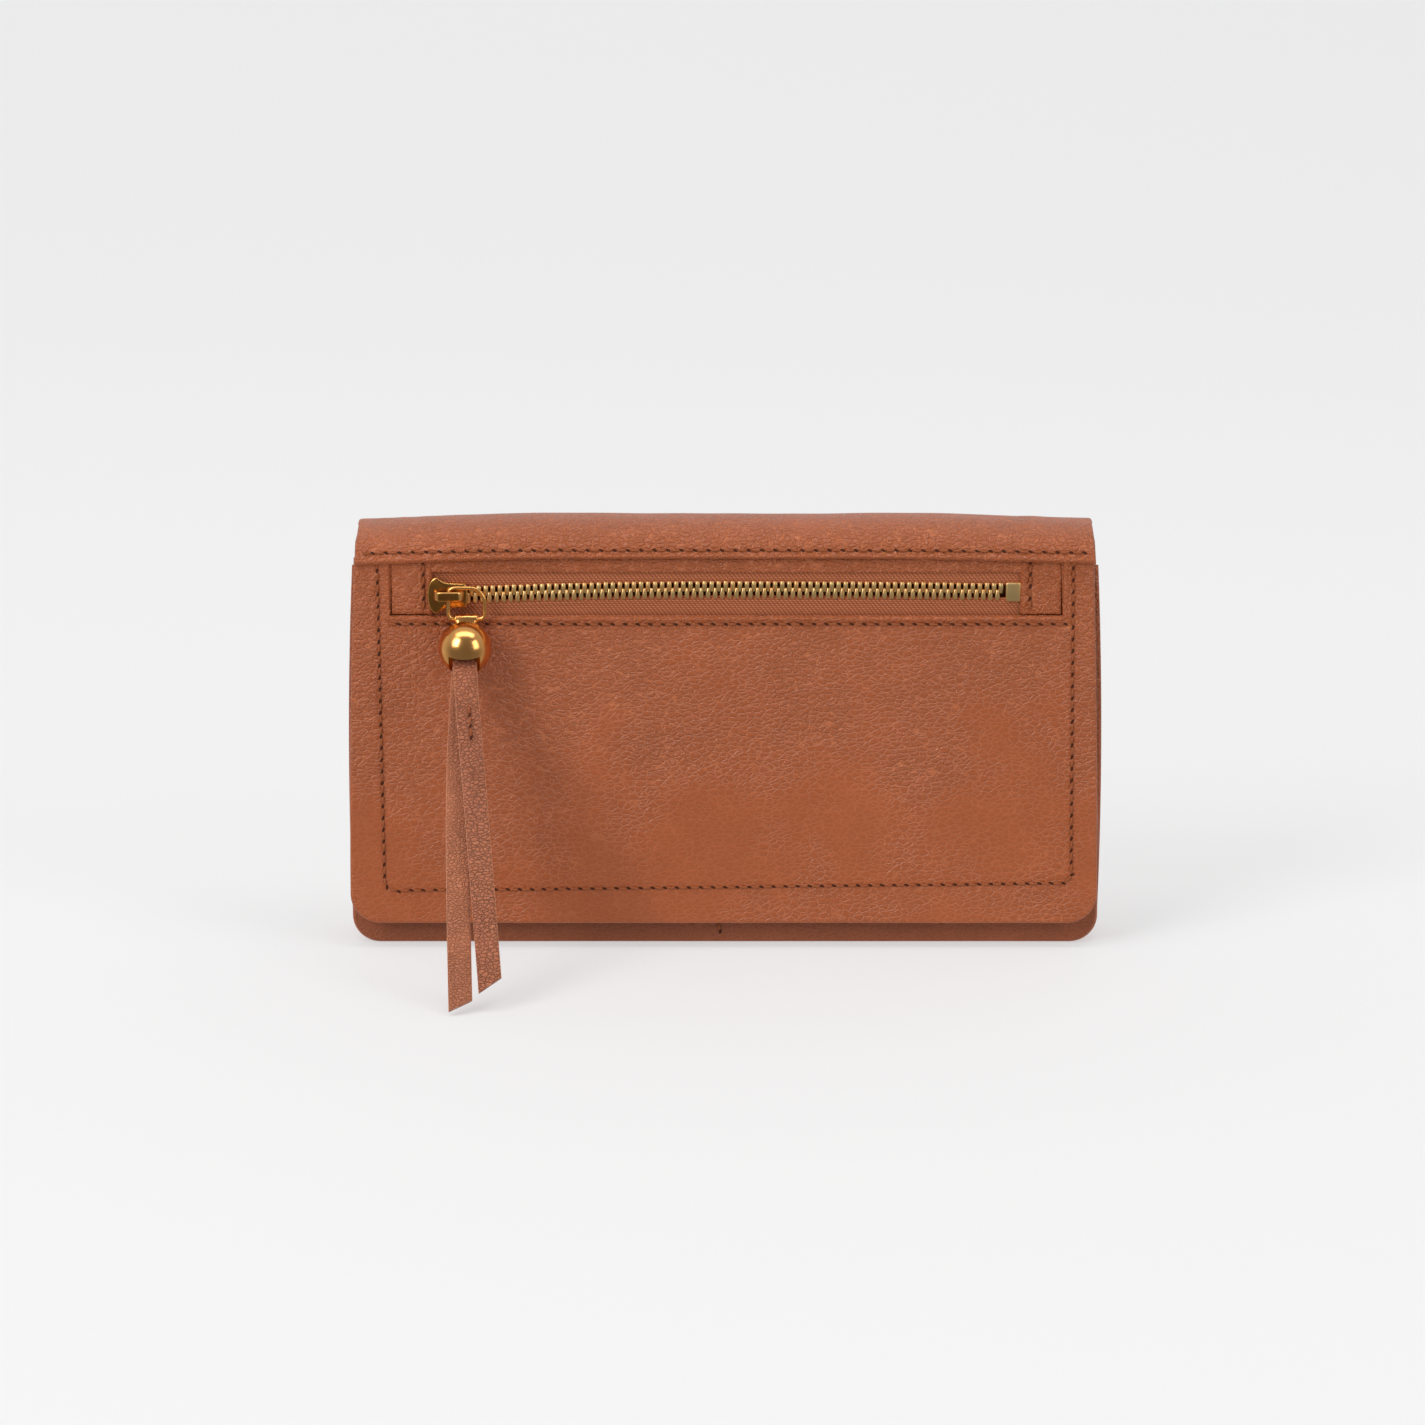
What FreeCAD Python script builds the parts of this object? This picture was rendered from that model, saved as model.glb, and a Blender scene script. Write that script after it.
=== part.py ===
import FreeCAD, Part
import math
import os

# A flap-over clutch wallet that stands upright on its base.
# Frame: millimetres, +X to the right seen from the front, front faces -Y, +Z up.
# Origin: centre of the flat base, on the surface that the wallet stands on.

V = FreeCAD.Vector
X_AXIS = V(1, 0, 0)
Y_AXIS = V(0, 1, 0)
Z_AXIS = V(0, 0, 1)
GAP = 0.05

# Body shell
BODY_HALF_LOW = 93.8
BODY_HALF_MID = 94.9
BODY_HALF_TOP = 93.4
BODY_CORNER = 7.0
BACK_OUT = 9.5
BACK_THICK = 1.5
BACK_TOP = 100.9
BASE_FRONT = -8.5
BASE_THICK = 1.5
BASE_HALF = 86.6
LINING_THICK = 0.6
LINING_INSET = 1.6
BACK_LINING_OUT = 7.95
DIVIDER_FRONT = 0.9
DIVIDER_THICK = 1.1
DIVIDER_TOP = 96.0
DIVIDER_HALF = 90.0
FRONT_OUT = -6.1
FRONT_THICK = 1.15
FRONT_TOP = 98.0
FRONT_LINING_OUT = -4.9
SOLE_GAP = 1.55

# Accordion gussets
GUSSET_THICK = 0.7
GUSSET_OUTER = 93.0
GUSSET_INNER = 84.5
GUSSET_LOW = 3.0
GUSSET_TOP = 96.5

# Card pockets, rear row first
POCKET_THICK = 0.5
POCKET_STEP = 0.6
POCKET_FIRST = -6.15
POCKET_TOPS = (92.0, 78.0, 64.0, 50.0)
POCKET_DEPTH = 56.0
POCKET_INSET = 1.2

# Hidden magnets
MAGNET_RADIUS = 6.0
MAGNET_THICK = 0.7
MAGNET_X = 52.0
MAGNET_Z = 20.0

# Flap roll over the top
ROLL_CENTRE = -2.55
ROLL_HALF = 11.9
ROLL_RISE = 8.8
ROLL_BASE = 101.2
ROLL_THICK = 1.2
ROLL_POWER = 0.86
ROLL_WIDE = 92.9
ROLL_NARROW = 91.6
STRIP_EDGE = 101.7
ROLL_LINING_HALF = 8.55
ROLL_LINING_CENTRE = -0.95
ROLL_LINING_RISE = 7.0

# Flap face and its window
FLAP_HALF_TOP = 92.5
FLAP_HALF_MID = 93.8
FLAP_HALF_LOW = 94.2
FLAP_LOW = 6.6
FLAP_CORNER = 7.6
FACE_OUT = -13.6
FACE_THICK = 1.2
WINDOW_LEFT = -83.4
WINDOW_RIGHT = 84.0
WINDOW_LOW = 86.8
FLAP_LINING_OUT = -9.5
FLAP_LINING_LOW = 8.2
FLAP_LINING_TOP = 101.1

# Zip
CHAIN_Z = 92.7
TAPE_OUT = -12.1
TAPE_THICK = 0.4
TAPE_LOW = 83.0
TAPE_HIGH = 103.0
TAPE_HALF = 79.5
TOOTH_HALF_SPAN = 2.2
TOOTH_PITCH = 1.76
TOOTH_WIDE = 1.12
TOOTH_HEAD = 0.78
TOOTH_MEET = 0.45
TOOTH_FRONT = -12.9
TOOTH_THICK = 2.0
TEETH_START = -69.4
TEETH_COUNT = 79
STOP_LEFT = 69.9
STOP_RIGHT = 73.6
TOP_STOP_X = -76.2
TOP_STOP_WIDE = 1.6
WELT_FRONT = -13.0
WELT_THICK = 0.85
WELT_LOW = 97.65
WELT_HIGH = 102.3
TAB_LEFT_END = -72.95
TAB_RIGHT_END = 74.0
POCKET_BAG_HALF = 80.0
POCKET_BAG_LOW = 34.0
POCKET_BAG_THICK = 0.25
POCKET_BAG_FRONT = -12.2
POCKET_BAG_BACK = -9.7
POCKET_BAG_FRONT_TOP = 82.8
POCKET_BAG_BACK_TOP = 101.0

# Slider
SLIDER_LEFT = -74.2
SLIDER_RIGHT = -64.2
SLIDER_HALF = 4.6
SLIDER_NARROW = 3.1
SLIDER_TAIL = 2.3
SLIDER_WAIST = 5.0
SLIDER_FRONT = -14.2
SLIDER_TOP_THICK = 1.1
SLIDER_BACK = -10.05
SLIDER_LOW_THICK = 0.7
RAIL_THICK = 0.55
POST_X = -71.3
POST_RADIUS = 0.8
BAIL_LEFT = -72.9
BAIL_RIGHT = -64.8
BAIL_HALF = 1.25
BAIL_FRONT = -17.4
BAIL_BAR = 0.9
BAIL_FOOT = 1.4
BAIL_Z = 92.35

# Ring
RING_WIRE = 0.52
RING_Y = -15.55
RING_LEFT = -68.95
RING_RIGHT = -59.9
RING_LOW = 86.42
RING_HIGH = 94.4
RING_CORNER_LOW = 1.5
RING_CORNER_HIGH = 3.7

# Charm
COLLAR_HALF = 2.85
COLLAR_X = -64.5
CHARM_X = -64.7
COLLAR_RADIUS = 1.25
COLLAR_BORE = 0.57
BALL_RADIUS = 6.65
BALL_Y = -20.65
BALL_Z = 80.32
NECK_HALF = 2.6
NECK_HALF_THICK = 0.9
SLOT_HALF = 4.05
SLOT_THICK = 2.35
SLOT_ROUND = 2.5
SLOT_ANGLES = (22.0, 45.0, 68.0)
SLOT_REACH = 12.0

# Leather thong through the ball
PIVOT_Y = -21.5
PIVOT_Z = 78.9
STRAP_WIDE = 6.0
STRAP_THICK = 1.5
FOLD_RADIUS = 1.5
EXIT_ANGLE = 50.0
EXIT_START = 1.95
BACK_TAIL = ((-65.3, -27.6, 73.2), (-66.3, -45.5, 41.0), (-64.7, -68.9, 1.1))
FRONT_TAIL = ((-64.4, -29.9, 75.4), (-60.9, -48.3, 42.5), (-57.4, -66.7, 5.2))
STITCH_COUNT = 3


def block(x0, x1, y0, y1, z0, z1):
    """A plain box between two corners."""
    return Part.makeBox(x1 - x0, y1 - y0, z1 - z0, V(x0, y0, z0))


def panel(y_front, thick, z_low, z_high, low, mid, high, corner):
    """An upright sheet with slightly bowed sides and rounded lower corners."""
    z_side = z_low + corner
    z_mid = (z_side + z_high) / 2.0
    diagonal = corner * (1.0 - math.sqrt(0.5))
    a = V(-high, y_front, z_high)
    b = V(high, y_front, z_high)
    c = V(low, y_front, z_side)
    d = V(low - corner, y_front, z_low)
    e = V(-low + corner, y_front, z_low)
    f = V(-low, y_front, z_side)
    edges = [Part.LineSegment(a, b).toShape()]
    edges.append(Part.Arc(b, V(mid, y_front, z_mid), c).toShape())
    edges.append(Part.Arc(c, V(low - diagonal, y_front, z_low + diagonal), d).toShape())
    edges.append(Part.LineSegment(d, e).toShape())
    edges.append(Part.Arc(e, V(-low + diagonal, y_front, z_low + diagonal), f).toShape())
    edges.append(Part.Arc(f, V(-mid, y_front, z_mid), a).toShape())
    return Part.Face(Part.Wire(edges)).extrude(V(0, thick, 0))


def body_panel(y_front, thick, z_low, z_high, inset):
    """A sheet with the body's outline, drawn in by an inset at its sides."""
    return panel(
        y_front,
        thick,
        z_low,
        z_high,
        BODY_HALF_LOW - inset,
        BODY_HALF_MID - inset,
        BODY_HALF_TOP - inset,
        BODY_CORNER,
    )


def magnet(x, y_front):
    """A thin disc that faces forward."""
    return Part.makeCylinder(MAGNET_RADIUS, MAGNET_THICK, V(x, y_front, MAGNET_Z), Y_AXIS)


def front_panel():
    """The front wall of the body, with a shallow seat for each magnet."""
    shape = body_panel(FRONT_OUT, FRONT_THICK, SOLE_GAP, FRONT_TOP, 0.0)
    for side in (-1, 1):
        seat = Part.makeCylinder(
            MAGNET_RADIUS + 0.1,
            MAGNET_THICK + 0.1,
            V(side * MAGNET_X, FRONT_OUT, MAGNET_Z),
            Y_AXIS,
        )
        shape = shape.cut(seat)
    return shape


def gusset(side):
    """A pleated side wall: two inward folds, one for each bill compartment."""
    back = BACK_LINING_OUT - LINING_THICK - GAP
    front = FRONT_LINING_OUT + LINING_THICK + GAP
    middle = DIVIDER_FRONT + DIVIDER_THICK / 2.0
    outer = GUSSET_OUTER
    inner = GUSSET_INNER
    t = GUSSET_THICK
    fold = 1.1
    points = [(outer - t, back), (outer, back)]
    points.append((inner + t * 1.6, (back + middle) / 2.0))
    points.append((outer, middle + fold))
    points.append((outer, middle - fold))
    points.append((inner + t * 1.6, (front + middle) / 2.0))
    points.append((outer, front))
    points.append((outer - t, front))
    points.append((inner, (front + middle) / 2.0))
    points.append((outer - t * 1.9, middle - fold))
    points.append((outer - t * 1.9, middle + fold))
    points.append((inner, (back + middle) / 2.0))
    corners = [V(side * x, y, GUSSET_LOW) for x, y in points]
    corners.append(corners[0])
    face = Part.Face(Part.makePolygon(corners))
    return face.extrude(V(0, 0, GUSSET_TOP - GUSSET_LOW))


def card_pocket(row):
    """One row of card pockets, a sheet that the row in front overlaps."""
    y_front = POCKET_FIRST - POCKET_THICK - row * POCKET_STEP
    z_high = POCKET_TOPS[row]
    z_low = max(SOLE_GAP, z_high - POCKET_DEPTH)
    return body_panel(y_front, POCKET_THICK, z_low, z_high, POCKET_INSET)


def arch_points(centre, half, rise, base, count):
    """Points over the top of the roll, from the front edge to the back edge."""
    points = []
    for i in range(count + 1):
        turn = math.pi * i / count
        across = math.copysign(abs(math.cos(turn)) ** ROLL_POWER, -math.cos(turn))
        up = math.sin(turn) ** ROLL_POWER
        points.append(V(0, centre + half * across, base + rise * max(up, 0.0)))
    return points


def arch_edge(points):
    """A smooth edge through points."""
    curve = Part.BSplineCurve()
    curve.interpolate(points)
    return curve.toShape()


def trimmed_to_ends(shape):
    """The roll's ends lean inward as they go up."""
    low = STRIP_EDGE - 95.0
    high = ROLL_BASE + ROLL_RISE + 1.0
    a = V(-ROLL_WIDE, -20.0, low)
    b = V(ROLL_WIDE, -20.0, low)
    c = V(ROLL_WIDE, -20.0, ROLL_BASE)
    d = V(ROLL_NARROW, -20.0, high)
    e = V(-ROLL_NARROW, -20.0, high)
    f = V(-ROLL_WIDE, -20.0, ROLL_BASE)
    face = Part.Face(Part.makePolygon([a, b, c, d, e, f, a]))
    return shape.common(face.extrude(V(0, 40.0, 0)))


def arch_sheet(centre, half, rise, thick):
    """A sheet that runs over the top, drawn across the whole width."""
    outer = arch_points(centre, half, rise, ROLL_BASE, 16)
    inner = arch_points(centre, half - thick, rise - thick, ROLL_BASE, 16)
    edges = [arch_edge(outer)]
    edges.append(Part.LineSegment(outer[-1], inner[-1]).toShape())
    edges.append(arch_edge(list(reversed(inner))))
    edges.append(Part.LineSegment(inner[0], outer[0]).toShape())
    face = Part.Face(Part.Wire(edges))
    face.translate(V(-ROLL_WIDE, 0, 0))
    return face.extrude(V(2 * ROLL_WIDE, 0, 0))


def flap_roll():
    """The leather that rolls over the top and ends in a folded front edge."""
    sheet = arch_sheet(ROLL_CENTRE, ROLL_HALF, ROLL_RISE, ROLL_THICK)
    cut = block(-100.0, 100.0, -20.0, -5.0, 90.0, STRIP_EDGE)
    return trimmed_to_ends(sheet.cut(cut))


def roll_lining():
    """The lining under the roll, from the back lining to the flap's lining."""
    sheet = arch_sheet(ROLL_LINING_CENTRE, ROLL_LINING_HALF, ROLL_LINING_RISE, LINING_THICK)
    return trimmed_to_ends(sheet)


def flap_lining():
    """The lining of the flap's inner side."""
    return panel(
        FLAP_LINING_OUT,
        LINING_THICK,
        FLAP_LINING_LOW,
        FLAP_LINING_TOP,
        FLAP_HALF_LOW - LINING_INSET,
        FLAP_HALF_MID - LINING_INSET,
        FLAP_HALF_TOP - LINING_INSET,
        FLAP_CORNER,
    )


def flap_face():
    """The flap's front, a frame that is open toward the roll around the zip."""
    sheet = panel(
        FACE_OUT,
        FACE_THICK,
        FLAP_LOW,
        STRIP_EDGE - GAP,
        FLAP_HALF_LOW,
        FLAP_HALF_MID,
        FLAP_HALF_TOP,
        FLAP_CORNER,
    )
    window = block(WINDOW_LEFT, WINDOW_RIGHT, -20.0, 0.0, WINDOW_LOW, 120.0)
    return sheet.cut(window)


def window_strip(x0, x1, z0, z1):
    """A leather strip set into the window, one layer behind the face."""
    return block(x0 + GAP, x1 - GAP, WELT_FRONT, WELT_FRONT + WELT_THICK, z0, z1)


def zip_tape(z_low, z_high):
    """One half of the woven zip tape."""
    y_back = TAPE_OUT + TAPE_THICK
    return block(-TAPE_HALF, TAPE_HALF, TAPE_OUT, y_back, z_low, z_high)


def tooth(x, side):
    """One zip tooth, a block on the tape's edge with a narrower head."""
    base = CHAIN_Z - side * TOOTH_HALF_SPAN
    neck = CHAIN_Z - side * TOOTH_MEET
    head = CHAIN_Z + side * TOOTH_MEET
    w = TOOTH_WIDE / 2.0
    h = TOOTH_HEAD / 2.0
    outline = [(x - w, base), (x + w, base), (x + w, neck - side * 0.1), (x + h, neck)]
    outline += [(x + h, head), (x - h, head), (x - h, neck), (x - w, neck - side * 0.1)]
    corners = [V(a, TOOTH_FRONT, b) for a, b in outline]
    corners.append(corners[0])
    return Part.Face(Part.makePolygon(corners)).extrude(V(0, TOOTH_THICK, 0))


def teeth(side):
    """A row of equal teeth, the upper row half a pitch further along."""
    shift = 0.0 if side > 0 else TOOTH_PITCH / 2.0
    row = [tooth(TEETH_START + shift + i * TOOTH_PITCH, side) for i in range(TEETH_COUNT)]
    return Part.makeCompound(row)


def bottom_stop():
    """The box at the zip's right end, which ends the slider's travel."""
    z_low = CHAIN_Z - TOOTH_HALF_SPAN
    z_high = CHAIN_Z + TOOTH_HALF_SPAN
    back = TOOTH_FRONT + TOOTH_THICK
    shape = block(STOP_LEFT, STOP_RIGHT, TOOTH_FRONT - 0.2, back, z_low, z_high)
    edges = [e for e in shape.Edges if abs(e.Vertexes[0].Z - e.Vertexes[1].Z) < 0.01]
    front = [e for e in edges if e.CenterOfMass.y < TOOTH_FRONT - 0.1]
    return shape.makeFillet(0.35, front)


def top_stops():
    """The two small stops at the zip's left end, one on each tape."""
    solids = []
    for side in (-1, 1):
        z_near = CHAIN_Z + side * 0.6
        z_far = CHAIN_Z + side * (TOOTH_HALF_SPAN - 0.1)
        x1 = TOP_STOP_X + TOP_STOP_WIDE
        back = TOOTH_FRONT + TOOTH_THICK
        low = min(z_near, z_far)
        high = max(z_near, z_far)
        solids.append(block(TOP_STOP_X, x1, TAPE_OUT + TAPE_THICK + GAP, back, low, high))
    return Part.makeCompound(solids)


def pocket_bag():
    """The thin cloth bag of the coin pocket, open behind the zip."""
    half = POCKET_BAG_HALF
    t = POCKET_BAG_THICK
    outer = block(
        -half, half, POCKET_BAG_FRONT, POCKET_BAG_BACK, POCKET_BAG_LOW, POCKET_BAG_BACK_TOP
    )
    inner = block(
        -half + t,
        half - t,
        POCKET_BAG_FRONT + t,
        POCKET_BAG_BACK - t,
        POCKET_BAG_LOW + t,
        POCKET_BAG_BACK_TOP + 1.0,
    )
    front = block(
        -half - 1.0,
        half + 1.0,
        POCKET_BAG_FRONT - 1.0,
        POCKET_BAG_BACK - t,
        POCKET_BAG_FRONT_TOP,
        POCKET_BAG_BACK_TOP + 1.0,
    )
    return outer.cut(inner).cut(front)


def shield(y_front, thick, grow):
    """The slider's outline: a wide rounded tail at the left, narrow at the right."""
    wide = SLIDER_HALF + grow
    narrow = SLIDER_NARROW + grow
    left = SLIDER_LEFT - grow
    right = SLIDER_RIGHT + grow
    a = V(left + SLIDER_TAIL, y_front, CHAIN_Z - wide)
    waist_low = V(left + SLIDER_WAIST, y_front, CHAIN_Z - narrow - 0.1)
    waist_high = V(left + SLIDER_WAIST, y_front, CHAIN_Z + narrow + 0.1)
    b = V(right - 1.2, y_front, CHAIN_Z - narrow)
    c = V(right, y_front, CHAIN_Z - narrow + 1.2)
    d = V(right, y_front, CHAIN_Z + narrow - 1.2)
    e = V(right - 1.2, y_front, CHAIN_Z + narrow)
    f = V(left + SLIDER_TAIL, y_front, CHAIN_Z + wide)
    edges = [Part.LineSegment(a, waist_low).toShape()]
    edges.append(Part.LineSegment(waist_low, b).toShape())
    edges.append(Part.LineSegment(b, c).toShape())
    edges.append(Part.LineSegment(c, d).toShape())
    edges.append(Part.LineSegment(d, e).toShape())
    edges.append(Part.LineSegment(e, waist_high).toShape())
    edges.append(Part.LineSegment(waist_high, f).toShape())
    edges.append(Part.Arc(f, V(left, y_front, CHAIN_Z), a).toShape())
    return Part.Face(Part.Wire(edges)).extrude(V(0, thick, 0))


def slider_body():
    """Two plates joined by a post, with rails that keep the teeth between them."""
    top = shield(SLIDER_FRONT, SLIDER_TOP_THICK, 0.0)
    low = shield(SLIDER_BACK - SLIDER_LOW_THICK, SLIDER_LOW_THICK, -0.2)
    post_long = SLIDER_BACK - SLIDER_FRONT - 0.2
    post = Part.makeCylinder(POST_RADIUS, post_long, V(POST_X, SLIDER_FRONT + 0.1, CHAIN_Z), Y_AXIS)
    shape = top.fuse(low).fuse(post)
    rail_x0 = SLIDER_LEFT + SLIDER_WAIST + 0.1
    rail_x1 = SLIDER_RIGHT - 0.3
    channel = TOOTH_HALF_SPAN + 0.3
    front_y0 = SLIDER_FRONT + SLIDER_TOP_THICK - 0.1
    front_y1 = TAPE_OUT - 0.1
    back_y0 = TAPE_OUT + TAPE_THICK + 0.1
    back_y1 = SLIDER_BACK - SLIDER_LOW_THICK + 0.1
    for side in (-1, 1):
        z_in = CHAIN_Z + side * channel
        z_out = CHAIN_Z + side * (channel + RAIL_THICK)
        z0 = min(z_in, z_out)
        z1 = max(z_in, z_out)
        shape = shape.fuse(block(rail_x0, rail_x1, front_y0, front_y1, z0, z1))
        shape = shape.fuse(block(rail_x0, rail_x1, back_y0, back_y1, z0, z1))
    return shape.removeSplitter()


def slider_bail():
    """The bridge on the slider that holds the ring."""
    z0 = BAIL_Z - BAIL_HALF
    z1 = BAIL_Z + BAIL_HALF
    back = SLIDER_FRONT - 0.02
    outer = block(BAIL_LEFT, BAIL_RIGHT, BAIL_FRONT, back, z0, z1)
    front = [e for e in outer.Edges if abs(e.CenterOfMass.y - BAIL_FRONT) < 0.01]
    ends = [e for e in front if e.Length < 2 * BAIL_HALF + 0.1]
    outer = outer.makeFillet(0.8, ends)
    inner = block(
        BAIL_LEFT + BAIL_FOOT,
        BAIL_RIGHT - BAIL_FOOT,
        BAIL_FRONT + BAIL_BAR,
        back + 1.0,
        z0 - 1.0,
        z1 + 1.0,
    )
    return outer.cut(inner)


def ring_arc(x, z, radius, start, stop):
    """A corner arc of the ring, as an edge between two angles in degrees."""
    points = []
    for angle in (start, (start + stop) / 2.0, stop):
        a = math.radians(angle)
        points.append(V(x + radius * math.cos(a), RING_Y, z + radius * math.sin(a)))
    return Part.Arc(points[0], points[1], points[2]).toShape()


def pull_ring():
    """A closed wire ring with a straight left side and a straight lower side."""
    low = RING_CORNER_LOW
    high = RING_CORNER_HIGH
    y = RING_Y
    start = V(RING_LEFT + low, y, RING_LOW)
    edges = [Part.LineSegment(start, V(RING_RIGHT - low, y, RING_LOW)).toShape()]
    edges.append(ring_arc(RING_RIGHT - low, RING_LOW + low, low, -90, 0))
    side = V(RING_RIGHT, y, RING_LOW + low)
    edges.append(Part.LineSegment(side, V(RING_RIGHT, y, RING_HIGH - high)).toShape())
    edges.append(ring_arc(RING_RIGHT - high, RING_HIGH - high, high, 0, 90))
    top = V(RING_RIGHT - high, y, RING_HIGH)
    edges.append(Part.LineSegment(top, V(RING_LEFT + low, y, RING_HIGH)).toShape())
    edges.append(ring_arc(RING_LEFT + low, RING_HIGH - low, low, 90, 180))
    left = V(RING_LEFT, y, RING_HIGH - low)
    edges.append(Part.LineSegment(left, V(RING_LEFT, y, RING_LOW + low)).toShape())
    edges.append(ring_arc(RING_LEFT + low, RING_LOW + low, low, 180, 270))
    path = Part.Wire(edges)
    section = Part.Wire(Part.Circle(start, X_AXIS, RING_WIRE).toShape())
    return path.makePipeShell([section], True, True)


def charm_collar():
    """The small barrel that turns on the ring's lower side."""
    start = V(COLLAR_X - COLLAR_HALF, RING_Y, RING_LOW)
    barrel = Part.makeCylinder(COLLAR_RADIUS, 2 * COLLAR_HALF, start, X_AXIS)
    bore = Part.makeCylinder(COLLAR_BORE, 2 * COLLAR_HALF, start, X_AXIS)
    return barrel.cut(bore)


def turned_block(half_x, half_thick, reach, angle):
    """A slab that starts at the thong's pivot and points down and forward."""
    slab = block(-half_x, half_x, -half_thick, half_thick, -reach, 0.0)
    slab.rotate(V(0, 0, 0), X_AXIS, -angle)
    slab.translate(V(CHARM_X, PIVOT_Y, PIVOT_Z))
    return slab


def charm_ball():
    """The ball, with a short flat neck and a slot for the thong."""
    centre = V(CHARM_X, BALL_Y, BALL_Z)
    ball = Part.makeSphere(BALL_RADIUS, centre)
    up = V(0, RING_Y - BALL_Y, RING_LOW - BALL_Z)
    neck_long = up.Length - COLLAR_RADIUS - 0.02
    half = NECK_HALF
    neck = block(-half, half, -NECK_HALF_THICK, NECK_HALF_THICK, 0.0, neck_long)
    neck.rotate(V(0, 0, 0), X_AXIS, -math.degrees(math.atan2(up.y, up.z)))
    neck.translate(V(COLLAR_X, BALL_Y, BALL_Z))
    ball = ball.fuse(neck)
    start = V(CHARM_X - SLOT_HALF, PIVOT_Y, PIVOT_Z)
    ball = ball.cut(Part.makeCylinder(SLOT_ROUND, 2 * SLOT_HALF, start, X_AXIS))
    for angle in SLOT_ANGLES:
        ball = ball.cut(turned_block(SLOT_HALF, SLOT_THICK, SLOT_REACH, angle))
    return ball


def strap_fold():
    """The part of the thong that turns inside the ball."""
    start = V(CHARM_X - STRAP_WIDE / 2.0, PIVOT_Y, PIVOT_Z)
    return Part.makeCylinder(FOLD_RADIUS, STRAP_WIDE, start, X_AXIS)


def bend(before, corner, after):
    """The arc that rounds a corner of a route, and its radius."""
    back = before - corner
    ahead = after - corner
    turn = math.pi - back.getAngle(ahead)
    reach = 0.45 * min(back.Length, ahead.Length)
    radius = reach / math.tan(turn / 2.0)
    back.normalize()
    ahead.normalize()
    first = corner + back * reach
    last = corner + ahead * reach
    inward = back + ahead
    inward.normalize()
    middle = corner + inward * (radius / math.cos(turn / 2.0) - radius)
    return first, middle, last, radius


def tail(name, layer, route):
    """One flat tail of the thong, straight runs joined by tangent arcs."""
    angle = math.radians(EXIT_ANGLE)
    out = V(0, -math.sin(angle), -math.cos(angle))
    across = V(0, -math.cos(angle), math.sin(angle))
    start = V(CHARM_X, PIVOT_Y, PIVOT_Z) + out * EXIT_START + across * layer
    corners = [start] + [V(*p) for p in route]
    edges = []
    at = corners[0]
    for i in range(1, len(corners) - 1):
        first, middle, last, radius = bend(corners[i - 1], corners[i], corners[i + 1])
        print(name, "bend radius", round(radius, 1))
        edges.append(Part.LineSegment(at, first).toShape())
        edges.append(Part.Arc(first, middle, last).toShape())
        at = last
    edges.append(Part.LineSegment(at, corners[-1]).toShape())
    path = Part.Wire(edges)
    along = corners[1] - corners[0]
    along.normalize()
    normal = along.cross(X_AXIS)
    normal.normalize()
    wide = normal.cross(along)
    w = wide * (STRAP_WIDE / 2.0)
    t = normal * (STRAP_THICK / 2.0)
    section = Part.makePolygon([start + w + t, start - w + t, start - w - t, start + w - t, start + w + t])
    shape = path.makePipeShell([section], True, True)
    print(name, "length", round(path.Length, 1), "volume", round(shape.Volume, 1))
    return shape


def strap_stitch():
    """The short row of stitches across the front tail, below the ball."""
    top = V(*FRONT_TAIL[0])
    down = V(*FRONT_TAIL[1]) - top
    down.normalize()
    out = V(0, down.z, -down.y)
    out.normalize()
    solids = []
    for i in range(STITCH_COUNT):
        centre = top + down * (10.0 + 2.9 * i) + out * (STRAP_THICK / 2.0 + 0.3)
        solids.append(Part.makeCylinder(0.25, 2.0, centre, down))
    return Part.makeCompound(solids)


def save(name, shape):
    """One STEP file for one named piece."""
    shape.exportStep("parts/" + name + ".step")


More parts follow.
